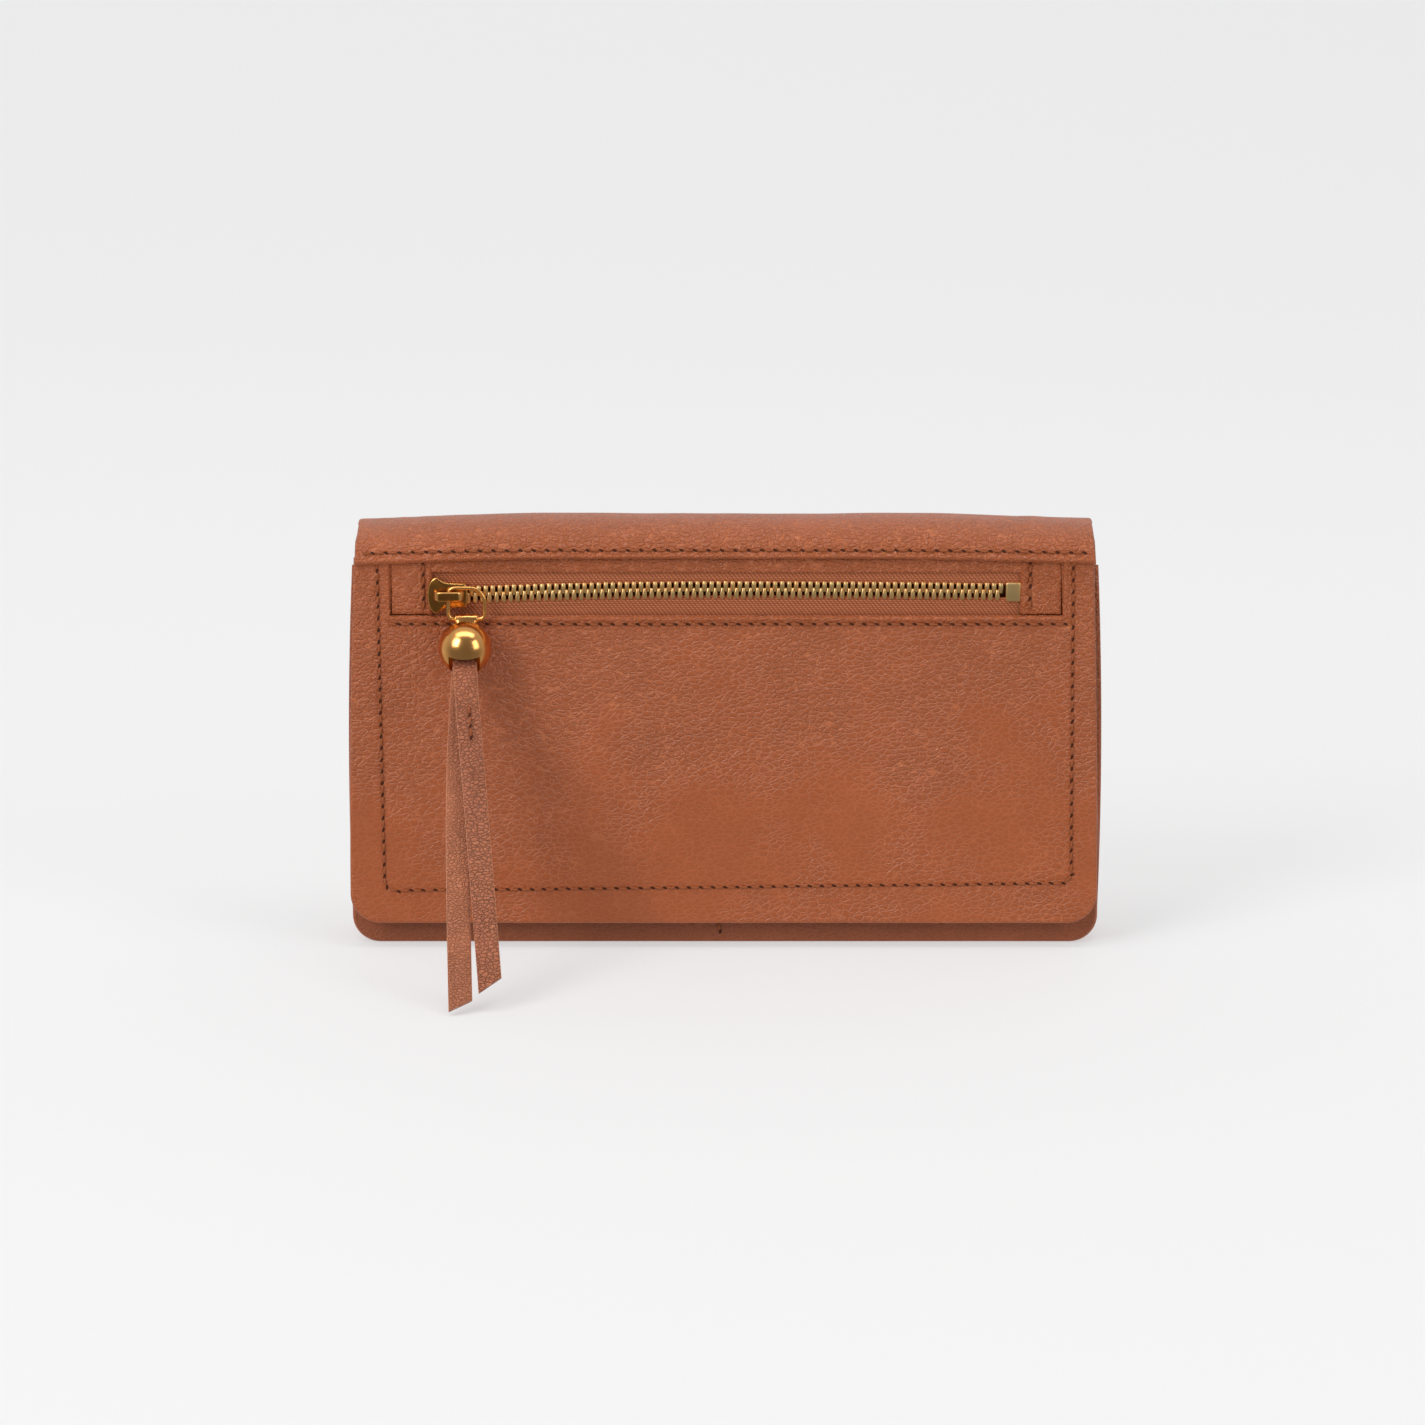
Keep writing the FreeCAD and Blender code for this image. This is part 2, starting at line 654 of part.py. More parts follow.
def main():
    os.makedirs("parts", exist_ok=True)
    save("back_panel", body_panel(BACK_OUT - BACK_THICK, BACK_THICK, 0.0, BACK_TOP, 0.0))
    lining_y = BACK_LINING_OUT - LINING_THICK
    save("back_lining", body_panel(lining_y, LINING_THICK, 2.0, BACK_TOP - 2.0, LINING_INSET))
    base = block(-BASE_HALF, BASE_HALF, BASE_FRONT, BACK_OUT - BACK_THICK - GAP, 0.0, BASE_THICK)
    save("base_panel", base)
    save("front_panel", front_panel())
    save(
        "front_lining",
        body_panel(FRONT_LINING_OUT, LINING_THICK, 2.0, FRONT_TOP - 1.0, LINING_INSET),
    )
    divider = block(
        -DIVIDER_HALF,
        DIVIDER_HALF,
        DIVIDER_FRONT,
        DIVIDER_FRONT + DIVIDER_THICK,
        GUSSET_LOW,
        DIVIDER_TOP,
    )
    save("centre_divider", divider)
    save("gusset_left", gusset(-1))
    save("gusset_right", gusset(1))
    for row in range(len(POCKET_TOPS)):
        save("card_pocket_row_" + str(row + 1), card_pocket(row))
    body_magnets = [magnet(side * MAGNET_X, FRONT_OUT + GAP) for side in (-1, 1)]
    save("body_magnets", Part.makeCompound(body_magnets))

    save("flap_roll", flap_roll())
    save("roll_lining", roll_lining())
    save("flap_face", flap_face())
    save("flap_lining", flap_lining())
    flap_magnets = [magnet(side * MAGNET_X, FLAP_LINING_OUT - 0.9) for side in (-1, 1)]
    save("flap_magnets", Part.makeCompound(flap_magnets))
    save("pocket_bag", pocket_bag())
    save("zip_tape_lower", zip_tape(TAPE_LOW, CHAIN_Z - TOOTH_HALF_SPAN - GAP))
    save("zip_tape_upper", zip_tape(CHAIN_Z + TOOTH_HALF_SPAN + GAP, TAPE_HIGH))
    save("zip_teeth_lower", teeth(1))
    save("zip_teeth_upper", teeth(-1))
    save("zip_bottom_stop", bottom_stop())
    save("zip_top_stops", top_stops())
    save("zip_upper_welt", window_strip(TAB_LEFT_END, TAB_RIGHT_END, WELT_LOW, WELT_HIGH))
    low = WINDOW_LOW + GAP
    save("zip_tab_left", window_strip(WINDOW_LEFT, TAB_LEFT_END, low, WELT_HIGH))
    save("zip_tab_right", window_strip(TAB_RIGHT_END, WINDOW_RIGHT, low, WELT_HIGH))

    save("slider_body", slider_body())
    save("slider_bail", slider_bail())
    save("pull_ring", pull_ring())
    save("charm_collar", charm_collar())
    save("charm_ball", charm_ball())
    save("strap_fold", strap_fold())
    layer = STRAP_THICK / 2.0 + 0.03
    save("strap_tail_back", tail("strap_tail_back", -layer, BACK_TAIL))
    save("strap_tail_front", tail("strap_tail_front", layer, FRONT_TAIL))
    save("strap_stitch", strap_stitch())


main()
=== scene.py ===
import math
import random

import bmesh
import bpy
from mathutils import Matrix, Vector, noise


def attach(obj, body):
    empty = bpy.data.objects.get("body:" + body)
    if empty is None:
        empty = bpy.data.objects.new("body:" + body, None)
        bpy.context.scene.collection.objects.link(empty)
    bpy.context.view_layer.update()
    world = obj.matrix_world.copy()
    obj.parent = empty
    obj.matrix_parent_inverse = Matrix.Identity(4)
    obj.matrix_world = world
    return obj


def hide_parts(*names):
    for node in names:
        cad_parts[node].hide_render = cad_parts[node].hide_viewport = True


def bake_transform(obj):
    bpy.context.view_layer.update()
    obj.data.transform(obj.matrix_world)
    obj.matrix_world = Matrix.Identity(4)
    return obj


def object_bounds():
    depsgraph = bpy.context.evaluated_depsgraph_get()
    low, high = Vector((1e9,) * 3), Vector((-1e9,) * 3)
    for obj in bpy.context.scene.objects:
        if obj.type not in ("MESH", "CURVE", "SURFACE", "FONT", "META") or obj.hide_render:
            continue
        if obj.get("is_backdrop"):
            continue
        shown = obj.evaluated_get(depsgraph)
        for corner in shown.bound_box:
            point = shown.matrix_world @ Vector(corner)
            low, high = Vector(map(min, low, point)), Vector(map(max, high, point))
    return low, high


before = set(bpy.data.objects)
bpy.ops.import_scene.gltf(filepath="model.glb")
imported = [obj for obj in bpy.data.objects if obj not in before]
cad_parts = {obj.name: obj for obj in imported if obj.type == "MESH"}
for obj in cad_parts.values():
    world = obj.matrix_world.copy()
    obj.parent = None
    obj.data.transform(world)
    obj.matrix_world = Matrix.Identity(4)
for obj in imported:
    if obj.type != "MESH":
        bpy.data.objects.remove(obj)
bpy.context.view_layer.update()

# Lengths are in millimetres until a mesh is made: x to the right, the front faces -y, z up
MM = 0.001

# The flap's front, and the window that the zip lies in
FACE_Y = -13.6
FACE_THICK = 1.3
FACE_SHIFT = -0.35
WINDOW_LEFT, WINDOW_RIGHT, WINDOW_LOW = -83.4, 84.0, 86.8

# The leather roll over the top, the edge of its folded strip and the strip's stitches
ROLL_CENTRE = -2.55
ROLL_HALF = 11.9
ROLL_RISE = 8.8
ROLL_BASE = 101.2
ROLL_POWER = 0.86
STRIP_EDGE = 101.7
STRIP_STITCH_Z = 103.75

# The zip
CHAIN_Z = 93.3
PITCH = 1.76
TEETH = 79
SLIDER_Z = 92.15

# The ring, the ball and the thong
RING_Y = -15.55
RING_LOW = 86.42
STRAP_X = -64.7
NECK_X = -64.55
BALL_CENTRE = Vector((STRAP_X, -20.65, 80.32))
BALL_RADIUS = 6.65
BALL_AXIS = Vector((0, 5.1, 6.1))
THONG_TURN = Vector((STRAP_X, -21.5, 78.9))
TAIL_WIDE = 5.9
TAIL_THICK = 1.45

# Stitches
STITCH_LENGTH = 2.0
STITCH_RADIUS = 0.30
STITCH_SLANT = 0.10

# Points nearer than this become one
MERGE = 0.004


# ---------------- materials

def grey(v):
    return (v, v, v)


class Tree:
    """The nodes of a material or a world in the making."""

    def __init__(self, tree):
        self.nodes, self.links = tree.nodes, tree.links

    def feed(self, node, values):
        """Sets a node's sockets to numbers, vectors and colours, or links them to other sockets."""
        for key, value in values.items():
            socket = node.inputs[key]
            if isinstance(value, bpy.types.NodeSocket):
                self.links.new(value, socket)
            elif isinstance(value, tuple) and socket.type == "RGBA":
                socket.default_value = (*value, 1)
            else:
                socket.default_value = value

    def add(self, kind, values, output=0, **settings):
        """One output of a new node."""
        node = self.nodes.new("ShaderNode" + kind)
        for key, value in settings.items():
            setattr(node, key, value)
        self.feed(node, values)
        return node.outputs[output]

    def noise(self, scale, vector, detail, output="Fac"):
        return self.add("TexNoise", {"Scale": scale, "Vector": vector, "Detail": detail}, output)

    def cells(self, scale, vector):
        """Distance from the edges of small cells."""
        values = {"Scale": scale, "Vector": vector}
        return self.add("TexVoronoi", values, "Distance", feature="DISTANCE_TO_EDGE")

    def wave(self, scale, vector, distortion, axis):
        values = {"Scale": scale, "Vector": vector, "Distortion": distortion}
        return self.add("TexWave", values, "Fac", bands_direction=axis)

    def math(self, operation, *values):
        return self.add("Math", dict(enumerate(values)), operation=operation)

    def mix(self, factor, a, b, blend="MIX"):
        return self.add("Mix", {0: factor, 6: a, 7: b}, 2, data_type="RGBA", blend_type=blend)

    def bump(self, height, strength, distance):
        return self.add("Bump", {"Height": height, "Strength": strength, "Distance": distance})

    def ramp(self, source, stops):
        """Colours along a value, from pairs of a position and a colour."""
        node = self.nodes.new("ShaderNodeValToRGB")
        elements = node.color_ramp.elements
        for element, (position, colour) in zip((elements[0], elements[1]), (stops[0], stops[-1])):
            element.position, element.color = position, (*colour, 1)
        for position, colour in stops[1:-1]:
            elements.new(position).color = (*colour, 1)
        self.links.new(source, node.inputs["Fac"])
        return node.outputs["Color"]


def new_material(name):
    """An empty material, its tree, its shader and the object's own coordinates."""
    mat = bpy.data.materials.new(name)
    mat.use_nodes = True
    tree = Tree(mat.node_tree)
    tree.nodes.clear()
    shader = tree.nodes.new("ShaderNodeBsdfPrincipled")
    out = tree.nodes.new("ShaderNodeOutputMaterial")
    tree.feed(out, {"Surface": shader.outputs["BSDF"]})
    return mat, tree, shader, tree.nodes.new("ShaderNodeTexCoord").outputs["Object"]


def leather(
    name, tones, grain=640.0, bump=0.9, rough=(0.31, 0.54), painted_crease_light=(1.36, 1.58, 1.9), fade=(4.0, 0.5)
):
    """Pebbled leather: flattened cells in a net of creases, with tone drift. The crease lines carry painted
    light: a crease colour above 1 paints a highlight on them, one below 1 paints shade in them.

    The grain is faint where a slow noise plus fade[0] times the height is under fade[1].
    """
    mat, tree, shader, coord = new_material(name)
    warp = tree.noise(330.0, coord, 3.0, "Color")
    shifted = tree.add("VectorMath", {0: warp, 1: grey(0.0012), 2: coord}, operation="MULTIPLY_ADD")
    flattened = tree.add("Mapping", {"Vector": shifted, "Scale": (0.8, 1.25, 1.25)})
    edge = tree.cells(grain, flattened)
    fine = tree.cells(grain * 2.3, flattened)
    pores = tree.noise(grain * 4.0, coord, 3.0)
    drift = tree.noise(22.0, coord, 3.0)
    patch = tree.noise(120.0, coord, 4.0)
    zone = tree.noise(38.0, coord, 2.0)

    cells = tree.ramp(edge, [(0.0, grey(0.0)), (0.14, grey(0.7)), (0.5, grey(1.0))])
    small = tree.ramp(fine, [(0.0, grey(0.0)), (0.22, grey(1.0))])
    up = tree.add("SeparateXYZ", {0: coord}, "Z")
    level = tree.math("MULTIPLY_ADD", up, fade[0], zone)
    strength = tree.ramp(level, [(fade[1], grey(0.3)), (fade[1] + 0.34, grey(1.0))])

    tone = tree.ramp(drift, list(zip((0.3, 0.52, 0.74), tones)))
    speck = tree.ramp(patch, [(0.3, grey(0.96)), (0.7, grey(1.04))])
    plain = tree.mix(1.0, tone, speck, "MULTIPLY")
    # Painted light in the creases: the crease colour multiplies the tone along the narrow crease lines, above
    # 1 as a painted highlight, below 1 as painted shade.
    line = tree.ramp(edge, [(0.0, painted_crease_light), (0.09, grey(1.0)), (0.3, grey(0.97))])
    colour = tree.mix(strength, plain, tree.mix(1.0, plain, line, "MULTIPLY"))

    height = tree.math("MULTIPLY_ADD", small, 0.22, cells)
    height = tree.math("MULTIPLY_ADD", pores, 0.3, height)
    normal = tree.bump(height, tree.math("MULTIPLY", strength, bump), 0.00042)
    tree.feed(shader, {
        "Base Color": colour,
        "Roughness": tree.ramp(cells, [(0.0, grey(rough[1])), (1.0, grey(rough[0]))]),
        "Normal": normal,
        "Coat Normal": normal,
        "Specular IOR Level": 0.5,
        "Coat Weight": 0.3,
        "Coat Roughness": 0.2,
    })
    return mat


def metal(name, base, deep, rough, bump=0.12):
    """Cast and polished metal with faint wear and tiny pits."""
    mat, tree, shader, coord = new_material(name)
    cloud = tree.noise(420.0, coord, 4.0)
    pits = tree.noise(5200.0, coord, 2.0)
    tree.feed(shader, {
        "Base Color": tree.ramp(cloud, [(0.3, deep), (0.6, base)]),
        "Roughness": tree.ramp(cloud, [(0.3, grey(rough + 0.09)), (0.7, grey(rough))]),
        "Normal": tree.bump(pits, bump, 0.00005),
        "Metallic": 1.0,
    })
    return mat


def woven(name, dark, light, rib, bump=0.3, rough=0.85, sheen=0.08):
    """Twill cloth: slanting ribs crossed by the weft, with loose fibres."""
    mat, tree, shader, coord = new_material(name)
    slanted = tree.add("Mapping", {"Vector": coord, "Rotation": (0.0, math.radians(38), 0.0)})
    ribs = tree.wave(rib / 6.0, slanted, 0.4, "X")
    weft = tree.wave(rib / 4.0, coord, 0.3, "Z")
    fuzz = tree.noise(rib * 1.4, coord, 4.0)
    lift = tree.math("MULTIPLY_ADD", fuzz, 0.5, tree.math("MULTIPLY", ribs, weft))
    tree.feed(shader, {
        "Base Color": tree.ramp(lift, [(0.2, dark), (0.9, light)]),
        "Normal": tree.bump(lift, bump, 0.00018),
        "Roughness": rough,
        "Specular IOR Level": 0.25,
        "Sheen Weight": sheen,
        "Sheen Roughness": 0.5,
    })
    return mat


EVEN_GRAIN = (0.0, 0.1)
TANS = ((0.380, 0.088, 0.021), (0.402, 0.094, 0.0232), (0.424, 0.101, 0.026))
SHELL = leather("shell_leather", TANS)
# Leather for the pockets, divider and pleats. Its tones are darker than the shell's as painted shade for the
# body that lies under the flap.
SHADED_INNER = leather(
    "inner_leather", ((0.27, 0.066, 0.018), (0.30, 0.074, 0.021), (0.33, 0.082, 0.024)),
    grain=900.0, bump=0.4, painted_crease_light=grey(1.15), fade=EVEN_GRAIN,
)
THONG = leather(
    "thong_leather", ((0.45, 0.134, 0.057), (0.51, 0.156, 0.067), (0.57, 0.180, 0.079)),
    grain=1000.0, bump=1.0, rough=(0.36, 0.58), painted_crease_light=grey(0.45), fade=EVEN_GRAIN,
)
THONG_PALE = leather(
    "thong_pale", ((0.50, 0.158, 0.068), (0.56, 0.182, 0.080), (0.62, 0.206, 0.092)),
    grain=1300.0, rough=(0.4, 0.6), painted_crease_light=grey(0.62), fade=EVEN_GRAIN,
)
CUT_EDGE = leather(
    "thong_cut_edge", ((0.62, 0.25, 0.13), (0.68, 0.28, 0.15), (0.74, 0.32, 0.18)),
    grain=2600.0, bump=0.3, painted_crease_light=grey(0.9), fade=EVEN_GRAIN,
)
LINING = woven("lining_cloth", (0.16, 0.055, 0.025), (0.26, 0.095, 0.045), 2600.0)
TAPE = woven("zip_tape_weave", (0.26, 0.070, 0.026), (0.64, 0.210, 0.094), 2300.0, bump=0.8)
# Thread near the leather's own tone, darkened as painted shade along the stitch lines.
SHADED_THREAD = woven("thread", (0.24, 0.060, 0.018), (0.46, 0.135, 0.048), 6500.0, rough=0.6, sheen=0.0)
# Dark discs of painted shade for the stitch holes.
HOLE_SHADE = woven(
    "stitch_hole_shade", (0.050, 0.012, 0.004), (0.085, 0.022, 0.008), 6500.0, bump=0.2, rough=0.9, sheen=0.0
)
TOOTH = metal("zip_brass", (1.0, 0.70, 0.31), (1.0, 0.60, 0.24), 0.38, 0.05)
BRASS = metal("slider_brass", (0.95, 0.52, 0.17), (0.80, 0.40, 0.115), 0.24, 0.04)
# A darker brass for the slider's flat faces: a painted reflection of the dim space in front.
DARK_REFLECTION_BRASS = metal("slider_painted_dark_reflection", (0.46, 0.20, 0.045), (0.33, 0.13, 0.026), 0.24, 0.04)
BALL = metal("charm_brass", (0.95, 0.47, 0.15), (0.84, 0.39, 0.115), 0.17, 0.03)
STEEL = metal("magnet_steel", (0.55, 0.55, 0.55), (0.4, 0.4, 0.4), 0.3)


# ---------------- numbers and paths

def spread(low, high, count):
    return [low + (high - low) * i / count for i in range(count + 1)]


def quarter(count):
    """Steps from 0 towards 1, close together at 0, as the heights round a corner are."""
    return [1 - math.cos(math.pi / 2 * i / count) for i in range(count)]


def eased(low, high, count, near=1.2, steps=5):
    """Values from low to high, closer together within near of both ends."""
    ends = [near * step for step in quarter(steps)]
    middle = spread(low + near, high - near, count)
    return [low + e for e in ends] + middle + [high - e for e in reversed(ends)]


def unit(value):
    return min(max(value, 0.0), 1.0)


def bell(distance, width):
    return math.exp(-(distance / width) ** 2)


def bent(value, power):
    """A sine or cosine to a power, with its sign kept."""
    return math.copysign(abs(value) ** power, value)


def circle(count):
    return [2 * math.pi * i / count for i in range(count)]


def oval(count, half_a, half_b, power_a, power_b):
    """A section that gets squarer as its powers get smaller."""
    return [
        (half_a * bent(math.cos(a), power_a), half_b * bent(math.sin(a), power_b))
        for a in circle(count)
    ]


def rounded(distance, radius):
    """How far a surface has curved away at this distance from its edge."""
    if distance >= radius:
        return 0.0
    reach = radius - max(distance, 0.0)
    return radius - math.sqrt(max(radius * radius - reach * reach, 0.0))


def wave(x, z, size, seed):
    return noise.noise(Vector((x / size, z / size, seed)))


def uneven(depth, size, seed):
    """A relief of slow waves, for places given as x and z or as x, y and z."""
    return lambda x, *rest: depth * wave(x, rest[-1], size, seed)


def flat(*place):
    return 0.0


def between(a, b, t):
    return (a[0] + (b[0] - a[0]) * t, a[1] + (b[1] - a[1]) * t)


def path_lengths(path):
    """How far each point of a flat path is from its start."""
    lengths = [0.0]
    for a, b in zip(path, path[1:]):
        lengths.append(lengths[-1] + math.hypot(b[0] - a[0], b[1] - a[1]))
    return lengths


def path_normal(path, k):
    """The direction square to a flat path, on its right."""
    a, b = path[max(k - 1, 0)], path[min(k + 1, len(path) - 1)]
    long = math.hypot(b[0] - a[0], b[1] - a[1])
    return (b[1] - a[1]) / long, -(b[0] - a[0]) / long


def even_path(path, step):
    """The same path with points at about equal steps."""
    lengths = path_lengths(path)
    count = max(int(lengths[-1] / step), 2)
    out, k = [], 0
    for s in spread(0.0, lengths[-1], count):
        while k < len(lengths) - 2 and lengths[k + 1] < s:
            k += 1
        t = (s - lengths[k]) / max(lengths[k + 1] - lengths[k], 1e-9)
        out.append(between(path[k], path[k + 1], t))
    return out


# ---------------- mesh tools

def link(name, data):
    obj = bpy.data.objects.new(name, data)
    bpy.context.scene.collection.objects.link(obj)
    return obj


def link_mesh(name, bm, materials=()):
    """An object from a mesh in the making."""
    mesh = bpy.data.meshes.new(name)
    bm.to_mesh(mesh)
    bm.free()
    for material in materials:
        mesh.materials.append(material)
    return link(name, mesh)


def add_object(name, points, faces, material, merge=0.0):
    """A smooth mesh from points in millimetres, with its faces turned outward."""
    mesh = bpy.data.meshes.new(name)
    mesh.from_pydata([Vector(p) * MM for p in points], [], faces)
    bm = bmesh.new()
    bm.from_mesh(mesh)
    if merge:
        bmesh.ops.remove_doubles(bm, verts=bm.verts, dist=merge * MM)
    bmesh.ops.recalc_face_normals(bm, faces=bm.faces)
    for face in bm.faces:
        face.smooth = True
    bm.to_mesh(mesh)
    bm.free()
    mesh.materials.append(material)
    return link(name, mesh)


def put(piece, body, slot, *nodes):
    """A piece stands for CAD nodes, which are hidden, and rides on a body. The slot is not used."""
    if nodes:
        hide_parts(*nodes)
    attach(piece, body)


def loft(points, faces, rings, closed=False, ends=True):
    """Adds rings of points, each joined to the next, to a mesh in the making."""
    start, count, sides = len(points), len(rings), len(rings[0])
    for ring in rings:
        points.extend(ring)
    for k in range(count if closed else count - 1):
        here = start + k * sides
        there = start + (k + 1) % count * sides
        for s in range(sides):
            t = (s + 1) % sides
            faces.append((here + s, here + t, there + t, there + s))
    if ends and not closed:
        faces.append(tuple(range(start, start + sides)))
        faces.append(tuple(range(start + (count - 1) * sides, start + count * sides)))


def ellipse(centre, up, across, wide, deep, sides):
    return [centre + up * (wide * math.cos(a)) + across * (deep * math.sin(a)) for a in circle(sides)]


def tube(points, faces, line, radius, sides, closed=False, squeeze=flat):
    """Adds a round tube along a line of points. squeeze says how much thinner it is along its way."""
    count = len(line)
    rings = []
    up = None
    for k in range(count):
        if closed:
            along = Vector(line[(k + 1) % count]) - Vector(line[k - 1])
        else:
            along = Vector(line[min(k + 1, count - 1)]) - Vector(line[max(k - 1, 0)])
        along.normalize()
        if up is None:
            up = along.orthogonal().normalized()
        up = (up - along * up.dot(along)).normalized()
        r = radius * (1.0 - squeeze(k / (count - 1)))
        rings.append(ellipse(Vector(line[k]), up, along.cross(up), r, r, sides))
    loft(points, faces, rings, closed)


def turned(name, start, along, rings, material, sides=48):
    """A lathe form: pairs of a place along an axis and a radius there."""
    along = along.normalized()
    up = along.orthogonal().normalized()
    across = along.cross(up)
    points, faces = [], []
    loft(points, faces, [ellipse(start + along * at, up, across, r, r, sides) for at, r in rings])
    return add_object(name, points, faces, material)


def bevelled_box(name, x0, x1, y0, y1, z0, z1, bevel, material, segments=3):
    bm = bmesh.new()
    bmesh.ops.create_cube(bm, size=1.0)
    middle = Vector(((x0 + x1) / 2, (y0 + y1) / 2, (z0 + z1) / 2))
    size = Vector((x1 - x0, y1 - y0, z1 - z0))
    for v in bm.verts:
        v.co = (middle + v.co * size) * MM
    sharp = bm.edges[:] + bm.verts[:]
    bmesh.ops.bevel(bm, geom=sharp, offset=bevel * MM, segments=segments, profile=0.5, affect="EDGES")
    for face in bm.faces:
        face.smooth = True
    return link_mesh(name, bm, [material])


def join(name, objects):
    """Several meshes as one piece, with the materials of the first."""
    bm = bmesh.new()
    for obj in objects:
        bm.from_mesh(obj.data)
    out = link_mesh(name, bm, objects[0].data.materials)
    for obj in objects:
        bpy.data.objects.remove(obj)
    return out


class Outline:
    """An upright panel's border: bowed sides and rounded lower corners."""

    def __init__(self, low, mid, high, z0, z1, corner):
        self.low, self.mid, self.high = low, mid, high
        self.z0, self.z1, self.corner = z0, z1, corner

    def half(self, z):
        side = self.z0 + self.corner
        if z < side:
            drop = self.corner - max(z - self.z0, 0.0)
            return self.low - self.corner + math.sqrt(max(self.corner ** 2 - drop ** 2, 0.0))
        t = (z - side) / (self.z1 - side)
        bow = self.mid - (self.low + self.high) / 2
        return self.low + (self.high - self.low) * t + bow * 4 * t * (1 - t)

    def inside(self, x, z):
        """Distance from the border."""
        straight = self.low - self.corner
        if z < self.z0 + self.corner and abs(x) > straight:
            return self.corner - math.hypot(abs(x) - straight, self.z0 + self.corner - z)
        return min(self.half(z) - abs(x), z - self.z0)

    def heights(self, count):
        """Heights of rows: close together round the lower corners and at both ends."""
        low = [self.z0 + self.corner * step for step in quarter(14)]
        return low + eased(self.z0 + self.corner, self.z1, count, 1.0, 4)


def across_widths(columns):
    """Places across a sheet from -1 to 1, close together at its sides."""
    return eased(-1.0, 1.0, columns, 0.014, 5)


def two_skins(name, rows, columns, place, material, merge=MERGE, kept=lambda i, j: True):
    """A closed sheet: a front and a back grid of points, with rims round the cells that are kept."""
    points, skins = [], []
    for side in (0, 1):
        skin = []
        for row in rows:
            skin.append(list(range(len(points), len(points) + len(columns))))
            points.extend(place(side, row, column) for column in columns)
        skins.append(skin)
    front, back = skins
    n, m = len(rows) - 1, len(columns) - 1
    faces = []
    for i in range(n):
        for j in range(m):
            if not kept(i, j):
                continue
            for skin in skins:
                faces.append((skin[i][j], skin[i][j + 1], skin[i + 1][j + 1], skin[i + 1][j]))
            for near_i, near_j, (a, b), (c, d) in (
                (i - 1, j, (i, j), (i, j + 1)),
                (i + 1, j, (i + 1, j), (i + 1, j + 1)),
                (i, j - 1, (i, j), (i + 1, j)),
                (i, j + 1, (i, j + 1), (i + 1, j + 1)),
            ):
                if not (0 <= near_i < n and 0 <= near_j < m and kept(near_i, near_j)):
                    faces.append((front[a][b], front[c][d], back[c][d], back[a][b]))
    return add_object(name, points, faces, material, merge)


def sheet(name, outline, front, thick, material, columns, rows, relief):
    """An upright leather or cloth sheet with a turned edge all round."""

    def place(side, z, u):
        x = u * outline.half(z)
        curve = rounded(min(outline.inside(x, z), outline.z1 - z), thick / 2)
        lift = relief(x, z)
        return x, front + curve - lift if side == 0 else front + thick - curve - lift * 0.4, z

    us = sorted(set(round(u, 6) for u in across_widths(columns)))
    return two_skins(name, sorted(set(outline.heights(rows))), us, place, material)


def profile_sheet(
    name, path, halves, thick, material, columns, relief=flat, round_ends=(True, True), droop=flat
):
    """A sheet that follows a path in y and z, with its own half width at each step."""
    lengths = path_lengths(path)

    def place(side, k, u):
        y, z = path[k]
        x = u * halves[k]
        edge = halves[k] - abs(x)
        if round_ends[0]:
            edge = min(edge, lengths[k])
        if round_ends[1]:
            edge = min(edge, lengths[-1] - lengths[k])
        curve = rounded(edge, thick / 2)
        lift = relief(x, y, z)
        off = -curve + lift if side == 0 else -thick + curve + lift * 0.4
        ny, nz = path_normal(path, k)
        return x, y + ny * off, z + nz * off - droop(x, y, z)

    return two_skins(name, range(len(path)), across_widths(columns), place, material)


def strip(name, x0, x1, low, high, front, thick, material, columns, rows, relief):
    """A narrow strip between two heights along x, with rounded edges."""

    def place(side, v, x):
        a, b = low(x), high(x)
        z = a + (b - a) * v
        curve = rounded(min(x - x0, x1 - x, z - a, b - z), thick / 2)
        return x, front + curve - relief(x, z) if side == 0 else front + thick - curve, z

    xs = eased(x0, x1, columns, min(0.8, (x1 - x0) / 4), 4)
    return two_skins(name, eased(0.0, 1.0, rows, 0.12, 4), xs, place, material)


# ---------------- stitches

def outward(at):
    return Vector((0, -1, 0))


def along_line(line, step):
    """Points and directions at equal steps along a polyline."""
    out, carry = [], step / 2
    for a, b in zip(line, line[1:]):
        a, b = Vector(a), Vector(b)
        long = (b - a).length
        if long == 0:
            continue
        while carry <= long:
            out.append((a + (b - a) * (carry / long), (b - a) / long))
            carry += step
        carry -= long
    return out


